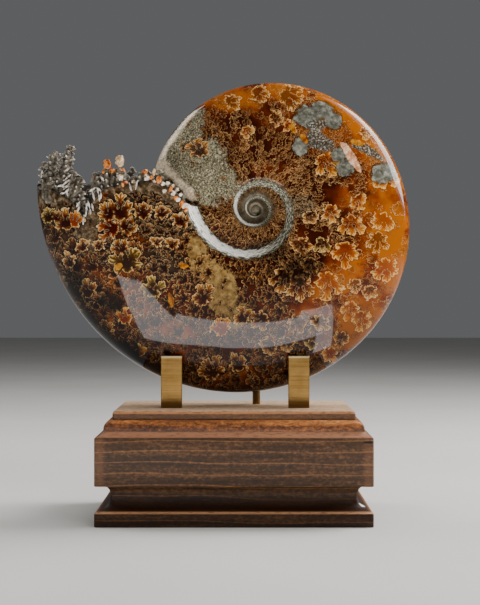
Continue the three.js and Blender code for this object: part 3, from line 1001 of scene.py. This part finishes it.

    # pearly wall round the umbilicus: white fibres between grey-green edges, with a painted highlight where
    # it faces the key light
    ratio = net.attribute("shoulder_ratio")
    angle = net.split(growth)[2]
    fibre = net.noise(net.flat(angle * 9.0, ratio * 60.0), 1.0, 3.0, 0.65, kind="2D")
    ratio = ratio + net.line(ragged, 0.1, -0.05)
    white = net.band(ratio, 0.8, 0.87, 0.93, 1.02)
    # painted highlight: the wall is whiter on the side that faces the key light
    lit = net.smooth(net.math("COSINE", angle - WALL_HIGHLIGHT_ANGLE), -0.15, 1.0)
    pearl_and_highlight = white * net.line(lit, 0.64, 0.16) + net.line(fibre, 2.1, -0.86)
    # over it come the first chamber, the cream rim of the break with a painted highlight along its upper
    # part, and the broken face
    first = net.smooth(from_pole, 4.4, 3.2) * 0.85
    # cream rim of the break, with a painted highlight along its upper part
    rim = zone("rim_cream_and_highlight", 0.3, 0.46)
    broken = net.attribute("broken_face")
    base = net.layers(
        base,
        (net.smooth(ratio, 1.04, 1.0), net.tones(
            pearl_and_highlight, (0.0, 52, 50, 38), (0.3, 112, 112, 94), (0.6, 196, 192, 176), (0.85, 255, 252, 245),
        )),
        (first, net.tones(ragged, (0.3, 126, 117, 99), (0.7, 188, 178, 158))),
        (rim, net.tones(speckle, (0.36, 198, 168, 132), (0.6, 255, 244, 220))),
        (broken, net.tones(ragged, (0.3, 38, 31, 24), (0.55, 86, 76, 64), (0.8, 170, 160, 146))),
    )

    base = net.put("ShaderNodeGamma", {"Color": base, "Gamma": 1.3})["Color"]
    rough = net.line(broken, 0.5, net.line(mottle, 0.04, net.line(rock, 0.2, 0.02)))
    surface["IOR"].default_value = 1.5
    surface["Specular IOR Level"].default_value = 0.26
    dress(net, surface, base, rough, net.noise(place, 60.0, 2.0, 0.4), 0.04, 0.002)
    return material


# Broken crown: septum fronds and calcite crystals

# Front row as seen in the photograph: pixels up each stem, foot and tip radius, side lobes
FRONT_STEMS = [
    ([(44.5, 196), (43.6, 178), (43.6, 163.5)], 1.8, 1.0, 3),
    ([(48, 200), (48, 184), (48.5, 171)], 2.2, 1.2, 2),
    ([(51.5, 200), (51, 178), (51.5, 164), (54.5, 153.5)], 2.7, 1.4, 5),
    ([(57, 200), (58, 186), (59.5, 174)], 2.4, 1.3, 3),
    ([(62, 200), (64, 174), (67, 160), (69, 148.5)], 3.0, 1.8, 6),
    ([(67, 200), (70, 184), (72.5, 173)], 2.3, 1.3, 3), ([(71, 204), (76, 190), (79, 180.5)], 2.3, 1.6, 3),
    ([(75, 214), (79, 203), (81, 193)], 2.0, 1.0, 3), ([(104, 200), (99.5, 186), (95.2, 175)], 2.4, 1.4, 3),
    ([(109, 204), (107.5, 186), (106, 171)], 2.8, 1.7, 3),
    ([(114, 202), (113, 186), (112.5, 173)], 2.2, 1.4, 2),
    ([(118, 200), (118, 184), (118, 171)], 2.6, 1.5, 3),
    ([(124, 200), (124.5, 186), (124, 176)], 2.3, 1.4, 2),
    ([(130, 198), (131, 186), (133, 179)], 2.2, 1.2, 2),
    ([(137, 198), (139, 184), (141, 174.5)], 2.3, 1.2, 3),
    ([(144, 198), (146, 186), (147.5, 178)], 2.1, 1.1, 2),
    ([(150, 198), (152, 184), (153, 175)], 2.2, 1.1, 3),
    ([(157, 198), (157.5, 184), (157, 171)], 2.0, 1.0, 3),
    ([(164, 200), (167, 191), (168, 184)], 1.6, 0.9, 2),
    ([(170, 204), (173, 196), (174, 189)], 1.4, 0.8, 2),
    ([(176, 208), (179, 201), (180.5, 195)], 1.3, 0.8, 2),
]
# White ridges in the notch and on the left fronds: a painted highlight standing in for glints on the septum's
# folds
GLINT_RIDGES = [
    [(57, 186), (63, 184), (69, 179)], [(60, 184.5), (66, 187)], [(60, 193), (65, 192), (69, 188)],
    [(63, 189), (69, 183)], [(65, 178.5), (71, 174)], [(66, 170), (69, 167)], [(66, 191), (68, 195)],
    [(89, 191), (96, 186.5), (101, 190), (101, 198)], [(97, 187), (99, 194), (99.5, 201)],
    [(88, 200), (90, 208), (91, 214)], [(87, 203), (85.5, 216)], [(76.5, 206), (80, 201)],
    [(41, 177), (42, 170)], [(92, 203), (93, 210)], [(84, 214), (83, 224)], [(80, 204), (77, 212)],
    [(129, 182), (131, 190)], [(137, 180), (135.5, 189)], [(104, 180), (101, 176)], [(92, 190), (95, 200)],
]
# The flank is followed out to this radius at the break, a little short of the keel
FLANK_LIMIT = 131
# Radius at the end of a lobe, and at the end of a twig on it
LOBE_TIP = 0.85
TWIG_TIP = 0.6
# Back row of stems: first radius, step, count, and the radii of the notch, where none stand
BACK_FIRST = 54
BACK_STEP = 5.2
BACK_STEMS = 15
BACK_NOTCH = (93, 110)
SEPTUM_FOLDS = 26


class Balls:
    """Gathers many balls as plain vertex and face lists, quick to build and later fused."""

    def __init__(self):
        template = bmesh.new()
        bmesh.ops.create_icosphere(template, subdivisions=2, radius=1.0)
        self.round = [v.co.copy() for v in template.verts]
        self.sides = [[v.index for v in f.verts] for f in template.faces]
        template.free()
        self.points = []
        self.faces = []

    def add(self, centre, radius):
        start = len(self.points)
        self.points += [centre + p * radius for p in self.round]
        self.faces += [[start + i for i in f] for f in self.sides]

    def limb(self, start, end, thick_start, thick_end):
        steps = max(1, math.ceil((end - start).length / (0.6 * min(thick_start, thick_end))))
        for i in range(steps + 1):
            t = i / steps
            self.add(start.lerp(end, t), thick_start + (thick_end - thick_start) * t)

    def bent_limb(self, path, thick_start, thick_end):
        """A limb through several points, its thickness falling evenly along the way."""
        spans = [(b - a).length for a, b in zip(path, path[1:])]
        walked = 0.0
        for a, b, span in zip(path, path[1:], spans):
            t0, t1 = walked / sum(spans), (walked + span) / sum(spans)
            thick = [thick_start + (thick_end - thick_start) * t for t in (t0, t1)]
            self.limb(a, b, *thick)
            walked += span


def point_along(path, t):
    """The place at a part of a path's length, and the way the path runs there."""
    spans = [(b - a).length for a, b in zip(path, path[1:])]
    goal = t * sum(spans)
    for a, b, span in zip(path, path[1:], spans):
        if goal <= span:
            return a.lerp(b, goal / span), (b - a).normalized()
        goal -= span
    return path[-1].copy(), (path[-1] - path[-2]).normalized()


def grow_stem(balls, draw, path, foot, tip, lobes):
    """A stem with short forked lobes on both sides, like the frilled edge of a septum."""
    balls.bent_limb(path, foot, tip)
    for i in range(lobes):
        t = 0.35 + 0.6 * (i + 0.5) / lobes
        thick = (foot + (tip - foot) * t) * 0.7
        for way in (-1, 1):
            start, along = point_along(path, min(t + way * 0.06, 1.0))
            across = Vector((along.z, 0, -along.x)) * way
            reach = (foot + (tip - foot) * t) * draw.uniform(1.1, 1.7) + 0.7
            lift = draw.uniform(0.35, 1.0)
            sway = Vector((0, draw.uniform(-0.5, 0.5), 0))
            end = start + (across + along * lift + sway).normalized() * reach
            balls.limb(start, end, thick, LOBE_TIP)
            for fork in (-1, 1):
                turn = (across * 0.55 + along * 0.55 + (along - across) * 0.6 * fork).normalized()
                twig = end + turn * 1.3 + Vector((0, draw.uniform(-0.5, 0.5), 0))
                balls.limb(end, twig, LOBE_TIP, TWIG_TIP)
        for out in (-1, 1):
            start, along = point_along(path, t)
            end = start + Vector((draw.uniform(-0.4, 0.4), out * 1.0, 0.6)).normalized() * thick * 2.6
            balls.limb(start, end, thick * 0.9, TWIG_TIP)
    top, along = point_along(path, 1.0)
    across = Vector((along.z, 0, -along.x))
    for fork in (-1, 0, 1):
        end = top + (along + across * fork * 0.75).normalized() * (tip + 0.5)
        balls.limb(top, end, tip * 0.72, TWIG_TIP)


def crown_half(place, limit=FLANK_LIMIT):
    """Half thickness of the shell at the break, as far from the pole as a place is."""
    return flank_half(BREAK_ANGLE, min(pole_distance(place), limit))


def crown_depth(place, thick, top):
    """Depth of a front stem: sunk in the flank at its foot, leaning inwards above the break."""
    return -max(crown_half(place) - (1.3 - 0.5 * top) * thick - 2.6 * top, 0.0)


def fused(name, balls, voxel, material):
    """One closed skin round overlapping balls, from a voxel remesh."""
    loose = bpy.data.meshes.new(name)
    loose.from_pydata([p * MM for p in balls.points], [], balls.faces)
    piece = new_piece(name, loose, material)
    remesh = piece.modifiers.new("fuse", "REMESH")
    remesh.mode = "VOXEL"
    remesh.voxel_size = voxel * MM
    relax = piece.modifiers.new("relax", "SMOOTH")
    relax.iterations = 2
    relax.factor = 0.45
    graph = bpy.context.evaluated_depsgraph_get()
    final = bpy.data.meshes.new_from_object(piece.evaluated_get(graph))
    piece.modifiers.clear()
    piece.data = final
    final.name = name
    final.shade_smooth()
    final.materials.clear()
    final.materials.append(material)
    return piece


def frond_piece(material):
    draw = random.Random(11)
    balls = Balls()
    for pixels, foot, tip, lobes in FRONT_STEMS:
        path = []
        for i, (px, py) in enumerate(pixels):
            top = i / (len(pixels) - 1)
            thick = foot + (tip - foot) * top
            path.append(from_photo(px, py, crown_depth(from_photo(px, py, FROND_DEPTH), thick, top)))
        grow_stem(balls, draw, path, foot, tip, lobes)
    # the back row follows the far rim, lower than the front row
    for i in range(BACK_STEMS):
        radius = BACK_FIRST + BACK_STEP * i
        if BACK_NOTCH[0] < radius < BACK_NOTCH[1]:
            continue
        thick = 2.0 * draw.uniform(0.8, 1.2)
        y = max(flank_half(BREAK_ANGLE, radius) - 1.5 * thick, 0.0)
        foot = on_shell(break_line(radius, BACK_BREAK) - math.radians(4), radius, y)
        rise = draw.uniform(5.0, 9.5)
        tip = foot + Vector((draw.uniform(-1.5, 1.5), -draw.uniform(1.0, 3.0), rise + 5))
        grow_stem(balls, draw, [foot, foot.lerp(tip, 0.5), tip], thick, 1.0, 2)
    # short folds across the sunken septum
    for _ in range(SEPTUM_FOLDS):
        radius = draw.uniform(52, 124)
        y = draw.uniform(-0.7, 0.7) * flank_half(BREAK_ANGLE, radius)
        foot = on_shell(break_line(radius, BACK_BREAK) - math.radians(8), radius, y)
        tip = foot + Vector((draw.uniform(-2, 2), draw.uniform(-2, 2), draw.uniform(5, 10)))
        grow_stem(balls, draw, [foot, tip], 2.0, 0.9, 1)
    return fused("septum_fronds", balls, 0.5, material)


# Thin white ridges that stand in for glints: painted highlight
def glint_ridge_piece(material):
    draw = random.Random(5)
    balls = Balls()
    for pixels in GLINT_RIDGES:
        path = []
        for px, py in pixels:
            depth = crown_half(from_photo(px, py, FROND_DEPTH), FLANK_LIMIT + 1) - 0.2
            path.append(from_photo(px + draw.uniform(-0.3, 0.3), py, -depth))
        for start, end in zip(path, path[1:]):
            middle = start.lerp(end, 0.5)
            balls.limb(start, middle, 0.35, 0.75)
            balls.limb(middle, end, 0.75, 0.35)
    return fused("white_edges", balls, 0.3, material)


def frond_material():
    material, net, surface = new_material("broken_septum")
    place = net.place()
    blotch = net.noise(place, 230.0, 3.0, 0.6)
    fine = net.noise(place, 900.0, 3.0, 0.65)
    # painted highlight on sharp ridges and painted shade in creases, read from the mesh's pointiness
    ridge_light_crease_shade = net.smooth(net.put("ShaderNodeNewGeometry")["Pointiness"], 0.44, 0.6)
    colour = net.tones(
        blotch * 0.5 + fine * 0.25 + ridge_light_crease_shade * 0.3,
        (0.36, 38, 33, 25), (0.48, 80, 72, 58), (0.62, 126, 115, 97), (0.78, 236, 229, 214),
    )
    dress(net, surface, colour, net.line(fine, 0.3, 0.22), fine, 0.6, 0.0006)
    return material


# Photograph pixel of each crystal, inset from the flank, width, height, turn and lean in degrees
AMBER_CRYSTALS = [
    (107.5, 163.5, 4.5, 4.2, 5.6, 20, -6), (104.5, 171, 4, 3.0, 3.0, 50, 30),
    (112, 170.5, 4, 3.2, 3.0, 70, -25), (117.5, 171.5, 4.5, 3.0, 2.6, 30, 20),
    (122.5, 169.5, 5, 3.0, 2.8, 65, 40), (126, 182, 1.5, 4.0, 2.2, 20, 35),
    (145.5, 171, 3, 3.6, 3.0, 45, 50), (158.5, 179, 1, 3.0, 4.4, 10, 0), (171, 188, 0.8, 3.0, 3.8, 60, 20),
    (176.5, 197, 0.5, 2.6, 2.8, 30, 40), (181.5, 203, 0.5, 2.8, 3.8, 75, 10),
    (152, 176.5, 2, 2.6, 3.0, 15, 25), (94.6, 175.5, 6, 2.2, 2.6, 40, 10),
    (186, 209, 0.5, 2.2, 2.6, 25, 30),
]
CREAM_CRYSTALS = [
    (120.8, 160, 5, 4.2, 6.2, 35, 12), (154, 171, 2.5, 2.6, 3.8, 55, 0),
]
WHITE_CRYSTALS = [
    (121, 177, 3, 4.4, 3.2, 25, 55), (148, 177.5, 2, 3.6, 2.6, 50, 60), (165, 190, 0.6, 2.4, 2.8, 15, 30),
    (174, 192.5, 0.6, 2.6, 2.6, 65, 15), (178.5, 199, 0.5, 2.2, 2.6, 35, 45),
    (184.5, 205, 0.4, 2.2, 3.0, 10, 20), (163, 184, 1, 2.2, 2.8, 70, 60), (103, 177, 4, 2.4, 2.0, 45, 30),
    (134, 182, 2, 2.0, 3.2, 30, 10), (168, 182.5, 1.2, 2.0, 2.2, 20, 70), (173, 185, 1.2, 1.8, 2.0, 50, 20),
    (177, 189, 1.2, 1.8, 2.2, 70, 40), (181, 194, 1, 1.8, 2.0, 10, 60), (154, 181, 1, 1.8, 2.4, 35, 10),
    (188, 205, 0.6, 1.8, 2.6, 15, 45),
]
# Outline of a crystal bud from foot to point: (height, half width), both in parts of the whole
BUD_OUTLINE = [
    (-0.5, 0.2), (-0.3, 0.42), (-0.05, 0.5), (0.2, 0.36), (0.42, 0.12),
]
BUD_SIDES = 6
BUDS = 3


def crystal_piece(name, places, material):
    """Flattened, pointed calcite buds with uneven facets, each with two smaller ones beside it."""
    draw = random.Random(len(places))
    shape = bmesh.new()
    for px, py, inset, width, height, turn, lean in places:
        middle = from_photo(px, py, inset - crown_half(from_photo(px, py, CRYSTAL_DEPTH)))
        for k in range(BUDS):
            part = 1.3 if k == 0 else draw.uniform(0.6, 0.85)
            nudge = Vector([draw.uniform(-0.45, 0.45) * width for _ in range(3)]) if k else Vector()
            tilt = Matrix.Rotation(math.radians(lean + 35 * k), 3, "Y")
            tilt = tilt @ Matrix.Rotation(math.radians(turn), 3, "Z")
            rings = []
            for level, half in BUD_OUTLINE:
                ring = []
                for i in range(BUD_SIDES):
                    angle = 2 * math.pi * i / BUD_SIDES
                    reach = half * width * draw.uniform(0.8, 1.15) * part
                    x, y = reach * math.cos(angle), 0.7 * reach * math.sin(angle)
                    corner = Vector((x, y, level * height * part))
                    ring.append(shape.verts.new(middle + nudge + tilt @ corner))
                rings.append(ring)
            skin_rings(shape, rings)
    bmesh.ops.bevel(
        shape, geom=shape.edges[:], offset=0.22, segments=2, profile=0.6, affect="EDGES", clamp_overlap=True,
    )
    bmesh.ops.scale(shape, vec=(MM, MM, MM), verts=shape.verts)
    return piece_from(name, shape, material)


def crystal_material(name, deep, bright):
    material, net, surface = new_material(name)
    place = net.place()
    cloud = net.noise(place, 420.0, 3.0, 0.6)
    surface["IOR"].default_value = 1.6
    colour = net.tones(cloud, (0.36, *deep), (0.6, *bright))
    dress(net, surface, colour, net.line(cloud, 0.2, 0.08), net.noise(place, 800.0, 2.0), 0.25, 0.0005)
    return material


# Plinth


def arc(start, end, bulge, segments):
    """Points between two profile corners on a shallow curve, ends left out."""
    (x0, z0), (x1, z1) = start, end
    length = math.hypot(x1 - x0, z1 - z0)
    across = (-(z1 - z0) / length, (x1 - x0) / length)
    points = []
    for i in range(1, segments):
        t = i / segments
        offset = bulge * math.sin(math.pi * t)
        points.append((x0 + (x1 - x0) * t + across[0] * offset, z0 + (z1 - z0) * t + across[1] * offset))
    return points


def moulding_profile():
    """(inset, height) up the side of the plinth, the same moulding as the solid with finer curves."""
    cove_foot = (1.2, 9.0)
    cove_waist = (8.9, 16.75)
    cove_head = (5.6, MAIN_BLOCK_BOTTOM)
    block_head = (0.6, MAIN_BLOCK_TOP)
    ovolo_foot = (4.9, OVOLO_BOTTOM)
    ovolo_head = (7.6, OVOLO_TOP)
    top_side = (TOP_SLAB_INSET, PLINTH_HEIGHT - 1.8)
    top_flat = (TOP_SLAB_INSET + 1.8, PLINTH_HEIGHT)
    return [
        (0.5, 0), (0.15, 0.15), (0, 0.5),
        (0, FOOT_SLAB_TOP - 0.6), (0.15, FOOT_SLAB_TOP - 0.15), (0.6, FOOT_SLAB_TOP),
        cove_foot, *arc(cove_foot, cove_waist, -2.6, 9), cove_waist,
        *arc(cove_waist, cove_head, -1.0, 7), cove_head,
        (0.5, MAIN_BLOCK_BOTTOM), (0.15, MAIN_BLOCK_BOTTOM + 0.12), (0, MAIN_BLOCK_BOTTOM + 0.5),
        (0, MAIN_BLOCK_TOP - 0.6), (0.15, MAIN_BLOCK_TOP - 0.15), block_head,
        *arc(block_head, ovolo_foot, -0.5, 6), ovolo_foot,
        *arc(ovolo_foot, ovolo_head, 1.1, 8), ovolo_head,
        (TOP_SLAB_INSET, OVOLO_TOP + 0.05), top_side, *arc(top_side, top_flat, 0.5, 6), top_flat,
    ]


# Vertices along each side of a plinth ring, and how far in from the corner the first one stands
ACROSS_STEPS = 30
DEEP_STEPS = 18
CORNER_INSET = 0.7
SHARP_ANGLE = math.radians(38)


def plinth_piece(material):
    """Mitred rings that follow the moulding, closed by a flat top and underside."""
    shape = bmesh.new()
    rings = []
    for inset, z in moulding_profile():
        half_x = PLINTH_WIDTH / 2 - inset
        half_y = PLINTH_DEPTH / 2 - inset
        xs, ys = (
            [-half + CORNER_INSET + (2 * half - 2 * CORNER_INSET) * i / steps for i in range(steps + 1)]
            for half, steps in ((half_x, ACROSS_STEPS), (half_y, DEEP_STEPS))
        )
        loop = [(x, -half_y) for x in xs] + [(half_x, y) for y in ys]
        loop += [(x, half_y) for x in reversed(xs)] + [(-half_x, y) for y in reversed(ys)]
        rings.append([shape.verts.new((x * MM, y * MM, z * MM)) for x, y in loop])
    skin_rings(shape, rings)
    piece = piece_from("moulded_plinth", shape, material)
    piece.data.shade_smooth()
    piece.data.set_sharp_from_angle(angle=SHARP_ANGLE)
    return piece


def wood_grain_group():
    """Growth rings round a distant centre, with flecks and pores along the grain."""
    group, net, given, out = new_group(
        "wood_grain",
        [("Place", "Vector", None), ("Ring Spacing", "Float", 6.0), ("Waviness", "Float", 4.0)],
        [("Rings", "Float"), ("Pores", "Float"), ("Streaks", "Float"), ("Flecks", "Float")],
    )
    at = net.millimetres(given["Place"])
    y, z = at[1] - TREE_CENTRE[0], at[2] - TREE_CENTRE[1]
    radius = net.math("SQRT", y * y + z * z)
    radius = radius + net.stretched_noise(given["Place"], (8, 14, 30)) * given["Waviness"]
    net.feed(out["Rings"], net.math("FRACT", radius / given["Ring Spacing"]))
    for name, stretch, detail, roughness in (
        ("Pores", (260, 1500, 1500), 2.0, 0.6),
        ("Streaks", (14, 240, 240), 3.0, 0.6),
        ("Flecks", (380, 620, 620), 3.0, 0.7),
    ):
        net.feed(out[name], net.stretched_noise(given["Place"], stretch, detail, roughness))
    return group


# A white spot lies low on the right corner, and the block's right shoulder has a dark split:
# middle and half size in millimetres, colour
WOOD_MARKS = [
    ((77.2, -31.0, 10.6), (3.6, 7.0, 1.3), (255, 252, 244)),
    ((78.0, -49.7, 49.4), (3.6, 2.0, 0.8), (16, 10, 8)),
]


def stained_wood_material(grain):
    material, net, surface = new_material("stained_wood")
    place = net.place()
    wood = place_group(net, grain, Place=place, Ring_Spacing=5.4, Waviness=9.0)
    at = net.millimetres(place)
    height = at[2]
    tone = wood["Streaks"] * 0.5 + wood["Flecks"] * 0.5
    colour = net.tones(tone, (0.34, 30, 18, 8), (0.5, 64, 41, 21), (0.64, 104, 71, 41))
    late = net.band(wood["Rings"], 0.84, 0.95, 0.97, 1.0) * net.line(wood["Flecks"], 1.3, -0.12)
    colour = net.mix(late, colour, shade(142, 96, 56))
    # the rounded moulding took the stain redder, with a painted highlight towards its top; painted light
    # makes the cove above the block and the top paler; the two ends are warmer; painted shade darkens the
    # cove under the block and the foot slab a little, which has a lighter band along its upper edge; the top
    # slab is warmer, with a painted highlight on its upper edge
    # painted highlight: the round is lighter towards its upper part
    round_tone_and_highlight = tone + net.line(net.smooth(height, 57.2, 60.2), 0.11, -0.06)
    ends = net.smooth(net.math("ABSOLUTE", at[0]), 73.8, 76.8) * net.band(height, 23.0, 24.0, 51.0, 52.0)
    # painted shade: strong in the cove under the block, lighter on the foot slab
    foot = net.smooth(height, 20.0, 14.0) * net.line(net.smooth(height, 7.9, 8.3), 0.4, 0.36)
    colour = net.layers(
        colour,
        (net.band(height, 54.6, 56.2, 61.2, 62.2) * 0.88, net.tones(
            round_tone_and_highlight, (0.34, 46, 24, 13), (0.46, 98, 56, 30), (0.57, 154, 92, 44), (0.7, 196, 130, 74),
        )),
        # painted light: the cove above the block faces up and is painted lighter
        (net.band(height, 51.6, 52.2, 54.6, 55.4) * 0.7, shade(162, 112, 82)),
        (ends * 0.3, shade(132, 88, 58)),
        (foot, shade(38, 17, 7)),
        (net.band(height, 7.5, 8.1, 8.6, 9.4) * 0.66, shade(204, 148, 104)),
        # painted light: the top faces up and is painted paler
        (net.smooth(height, 66.2, 66.7) * 0.8, net.tones(
            tone, (0.36, 150, 116, 88), (0.5, 204, 168, 134), (0.64, 230, 200, 168),
        )),
        (net.band(height, 61.4, 62.0, 66.0, 66.6) * 0.3, shade(116, 76, 48)),
        # painted highlight along the top slab's upper edge
        (net.band(height, 64.6, 65.6, 66.3, 66.7) * 0.6, shade(196, 134, 88)),
        (net.smooth(wood["Pores"], 0.5, 0.34) * 0.5, shade(36, 24, 17)),
    )
    for centre, reach, tint in WOOD_MARKS:
        away = wood["Flecks"] * 0.5
        for axis in range(3):
            offset = net.line(at[axis], 1 / reach[axis], -centre[axis] / reach[axis])
            away = net.line(offset, offset, away)
        colour = net.mix(net.smooth(away, 1.3, 0.8), colour, shade(*tint))
    surface["Specular IOR Level"].default_value = 0.3
    dress(net, surface, colour, net.line(wood["Pores"], 0.25, 0.4), wood["Pores"] - late * 0.2, 0.4, 0.0004)
    return material


# Brass holders


def satin_brass_material():
    material, net, surface = new_material("satin_brass")
    place = net.place()
    brushed = net.stretched_noise(place, (26, 900, 1500), 3.0, 0.65)
    tarnish = net.noise(place, 110.0, 3.0, 0.6)
    height = net.millimetres(place)[2]
    tone = tarnish * 0.4 + brushed * 0.6
    # a painted reflection of the wood darkens the foot, and a painted highlight brightens the cut top
    colour = net.layers(
        net.ramp(tone, [(0.36, (0.17, 0.09, 0.022, 1)), (0.64, (0.31, 0.18, 0.055, 1))]),
        (net.smooth(height, 78.0, 67.0) * 0.5, (0.2, 0.11, 0.035, 1)),
        (net.smooth(height, 96.4, 97.9) * 0.6, (0.9, 0.7, 0.4, 1)),
    )
    surface["Metallic"].default_value = 1.0
    dress(net, surface, colour, net.line(brushed, 0.22, 0.26), brushed, 0.25, 0.0002)
    return material


# Studio


def pale_floor():
    shape = bmesh.new()
    bmesh.ops.create_grid(shape, x_segments=2, y_segments=2, size=4.0)
    material, net, surface = new_material("floor_paint")
    cloud = net.noise(net.place(), 6.0)
    net.feed(surface["Base Color"], net.tones(cloud, (0.3, 190, 187, 182), (0.7, 196, 193, 188)))
    surface["Roughness"].default_value = 0.7
    piece_from("pale_floor", shape, material)


def softbox(name, place, width, height, radiance, roll=0.0, mirrored=True):
    """A flat panel of even light aimed at the shell, or straight up from the floor; one that
    isn't mirrored leaves no glare."""
    light = bpy.data.lights.new(name, "AREA")
    light.shape = "RECTANGLE"
    light.size = width
    light.size_y = height
    light.energy = radiance * math.pi * width * height
    lamp = bpy.data.objects.new(name, light)
    lamp.location = place
    aim = Vector((0.02, 0, 0.18)) if place[2] > 0.1 else Vector((place[0], place[1], 1.0))
    facing = (aim - Vector(place)).to_track_quat("-Z", "Y").to_matrix()
    lamp.rotation_euler = (facing @ Matrix.Rotation(math.radians(roll), 3, "Z")).to_euler()
    lamp.visible_camera = False
    lamp.visible_glossy = mirrored
    bpy.context.collection.objects.link(lamp)


def studio():
    world = bpy.data.worlds.new("studio")
    bpy.context.scene.world = world
    world.use_nodes = True
    background = world.node_tree.nodes["Background"].inputs
    background["Color"].default_value = (0.95, 0.97, 1.0, 1)
    background["Strength"].default_value = 0.12
    softbox("key_right", (0.75, -0.95, 1.2), 0.8, 0.8, 4.3, mirrored=False)
    softbox("fill_left", (-0.9, -0.9, 0.9), 0.9, 0.9, 0.4, mirrored=False)
    softbox("overhead", (0.15, 0.1, 1.3), 0.9, 0.7, 5.0, mirrored=False)
    softbox("rim_right", (0.86, 0.22, 0.78), 0.42, 0.9, 15, roll=-40)
    softbox("rim_glow", (0.88, 0.16, 0.82), 0.75, 1.1, 2.5, roll=-40)
    softbox("rim_left", (-0.72, 0.30, 0.86), 0.3, 0.6, 8, roll=40)
    # cards low in front of the stand give the pale band under the umbilicus
    softbox("low_card", (0.02, -0.258, 0.004), 0.25, 0.17, 6.5)
    softbox("low_card_left", (-0.19, -0.347, 0.004), 0.105, 0.44, 6.5, roll=28.2)
    softbox("low_card_right", (0.168, -0.236, 0.004), 0.034, 0.31, 6.5, roll=-17.7)
    softbox("low_card_corner", (0.16, -0.352, 0.004), 0.056, 0.09, 6.5, roll=-17.7)


def camera():
    data = bpy.data.cameras.new("camera")
    data.lens = CAMERA_LENS
    data.sensor_width = SENSOR
    lens = bpy.data.objects.new("camera", data)
    lens.location = (CAMERA_X * MM, -CAMERA_DISTANCE * MM, CAMERA_Z * MM)
    lens.rotation_euler = (math.radians(90), 0, 0)
    bpy.context.collection.objects.link(lens)
    bpy.context.scene.camera = lens


camera()
studio()
pale_floor()

fossil = polished_fossil_material(leaf_shape_group(), leaf_cells_group())
shell = shell_piece(fossil)
fronds = frond_piece(frond_material())
amber_calcite = crystal_material("amber_calcite", (112, 34, 5), (224, 136, 52))
white_calcite = crystal_material("white_calcite", (176, 140, 106), (250, 236, 212))
cream_calcite = crystal_material("cream_calcite", (170, 130, 86), (214, 188, 150))
amber = crystal_piece("amber_crystals", AMBER_CRYSTALS, amber_calcite)
white = crystal_piece("white_crystals", WHITE_CRYSTALS, white_calcite)
cream = crystal_piece("cream_crystals", CREAM_CRYSTALS, cream_calcite)
edges = glint_ridge_piece(crystal_material("glint_white", (120, 108, 94), (222, 214, 202)))
plinth = plinth_piece(stained_wood_material(wood_grain_group()))
brass = satin_brass_material()

for piece in (shell, fronds, amber, white, cream, edges, plinth):
    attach(piece, "root")
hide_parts("ammonite_shell")
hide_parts("wood_plinth")
for name in ("brass_prong_left", "brass_prong_right", "brass_rear_rod"):
    for holder in bpy.data.objects[name].material_slots:
        holder.material = brass
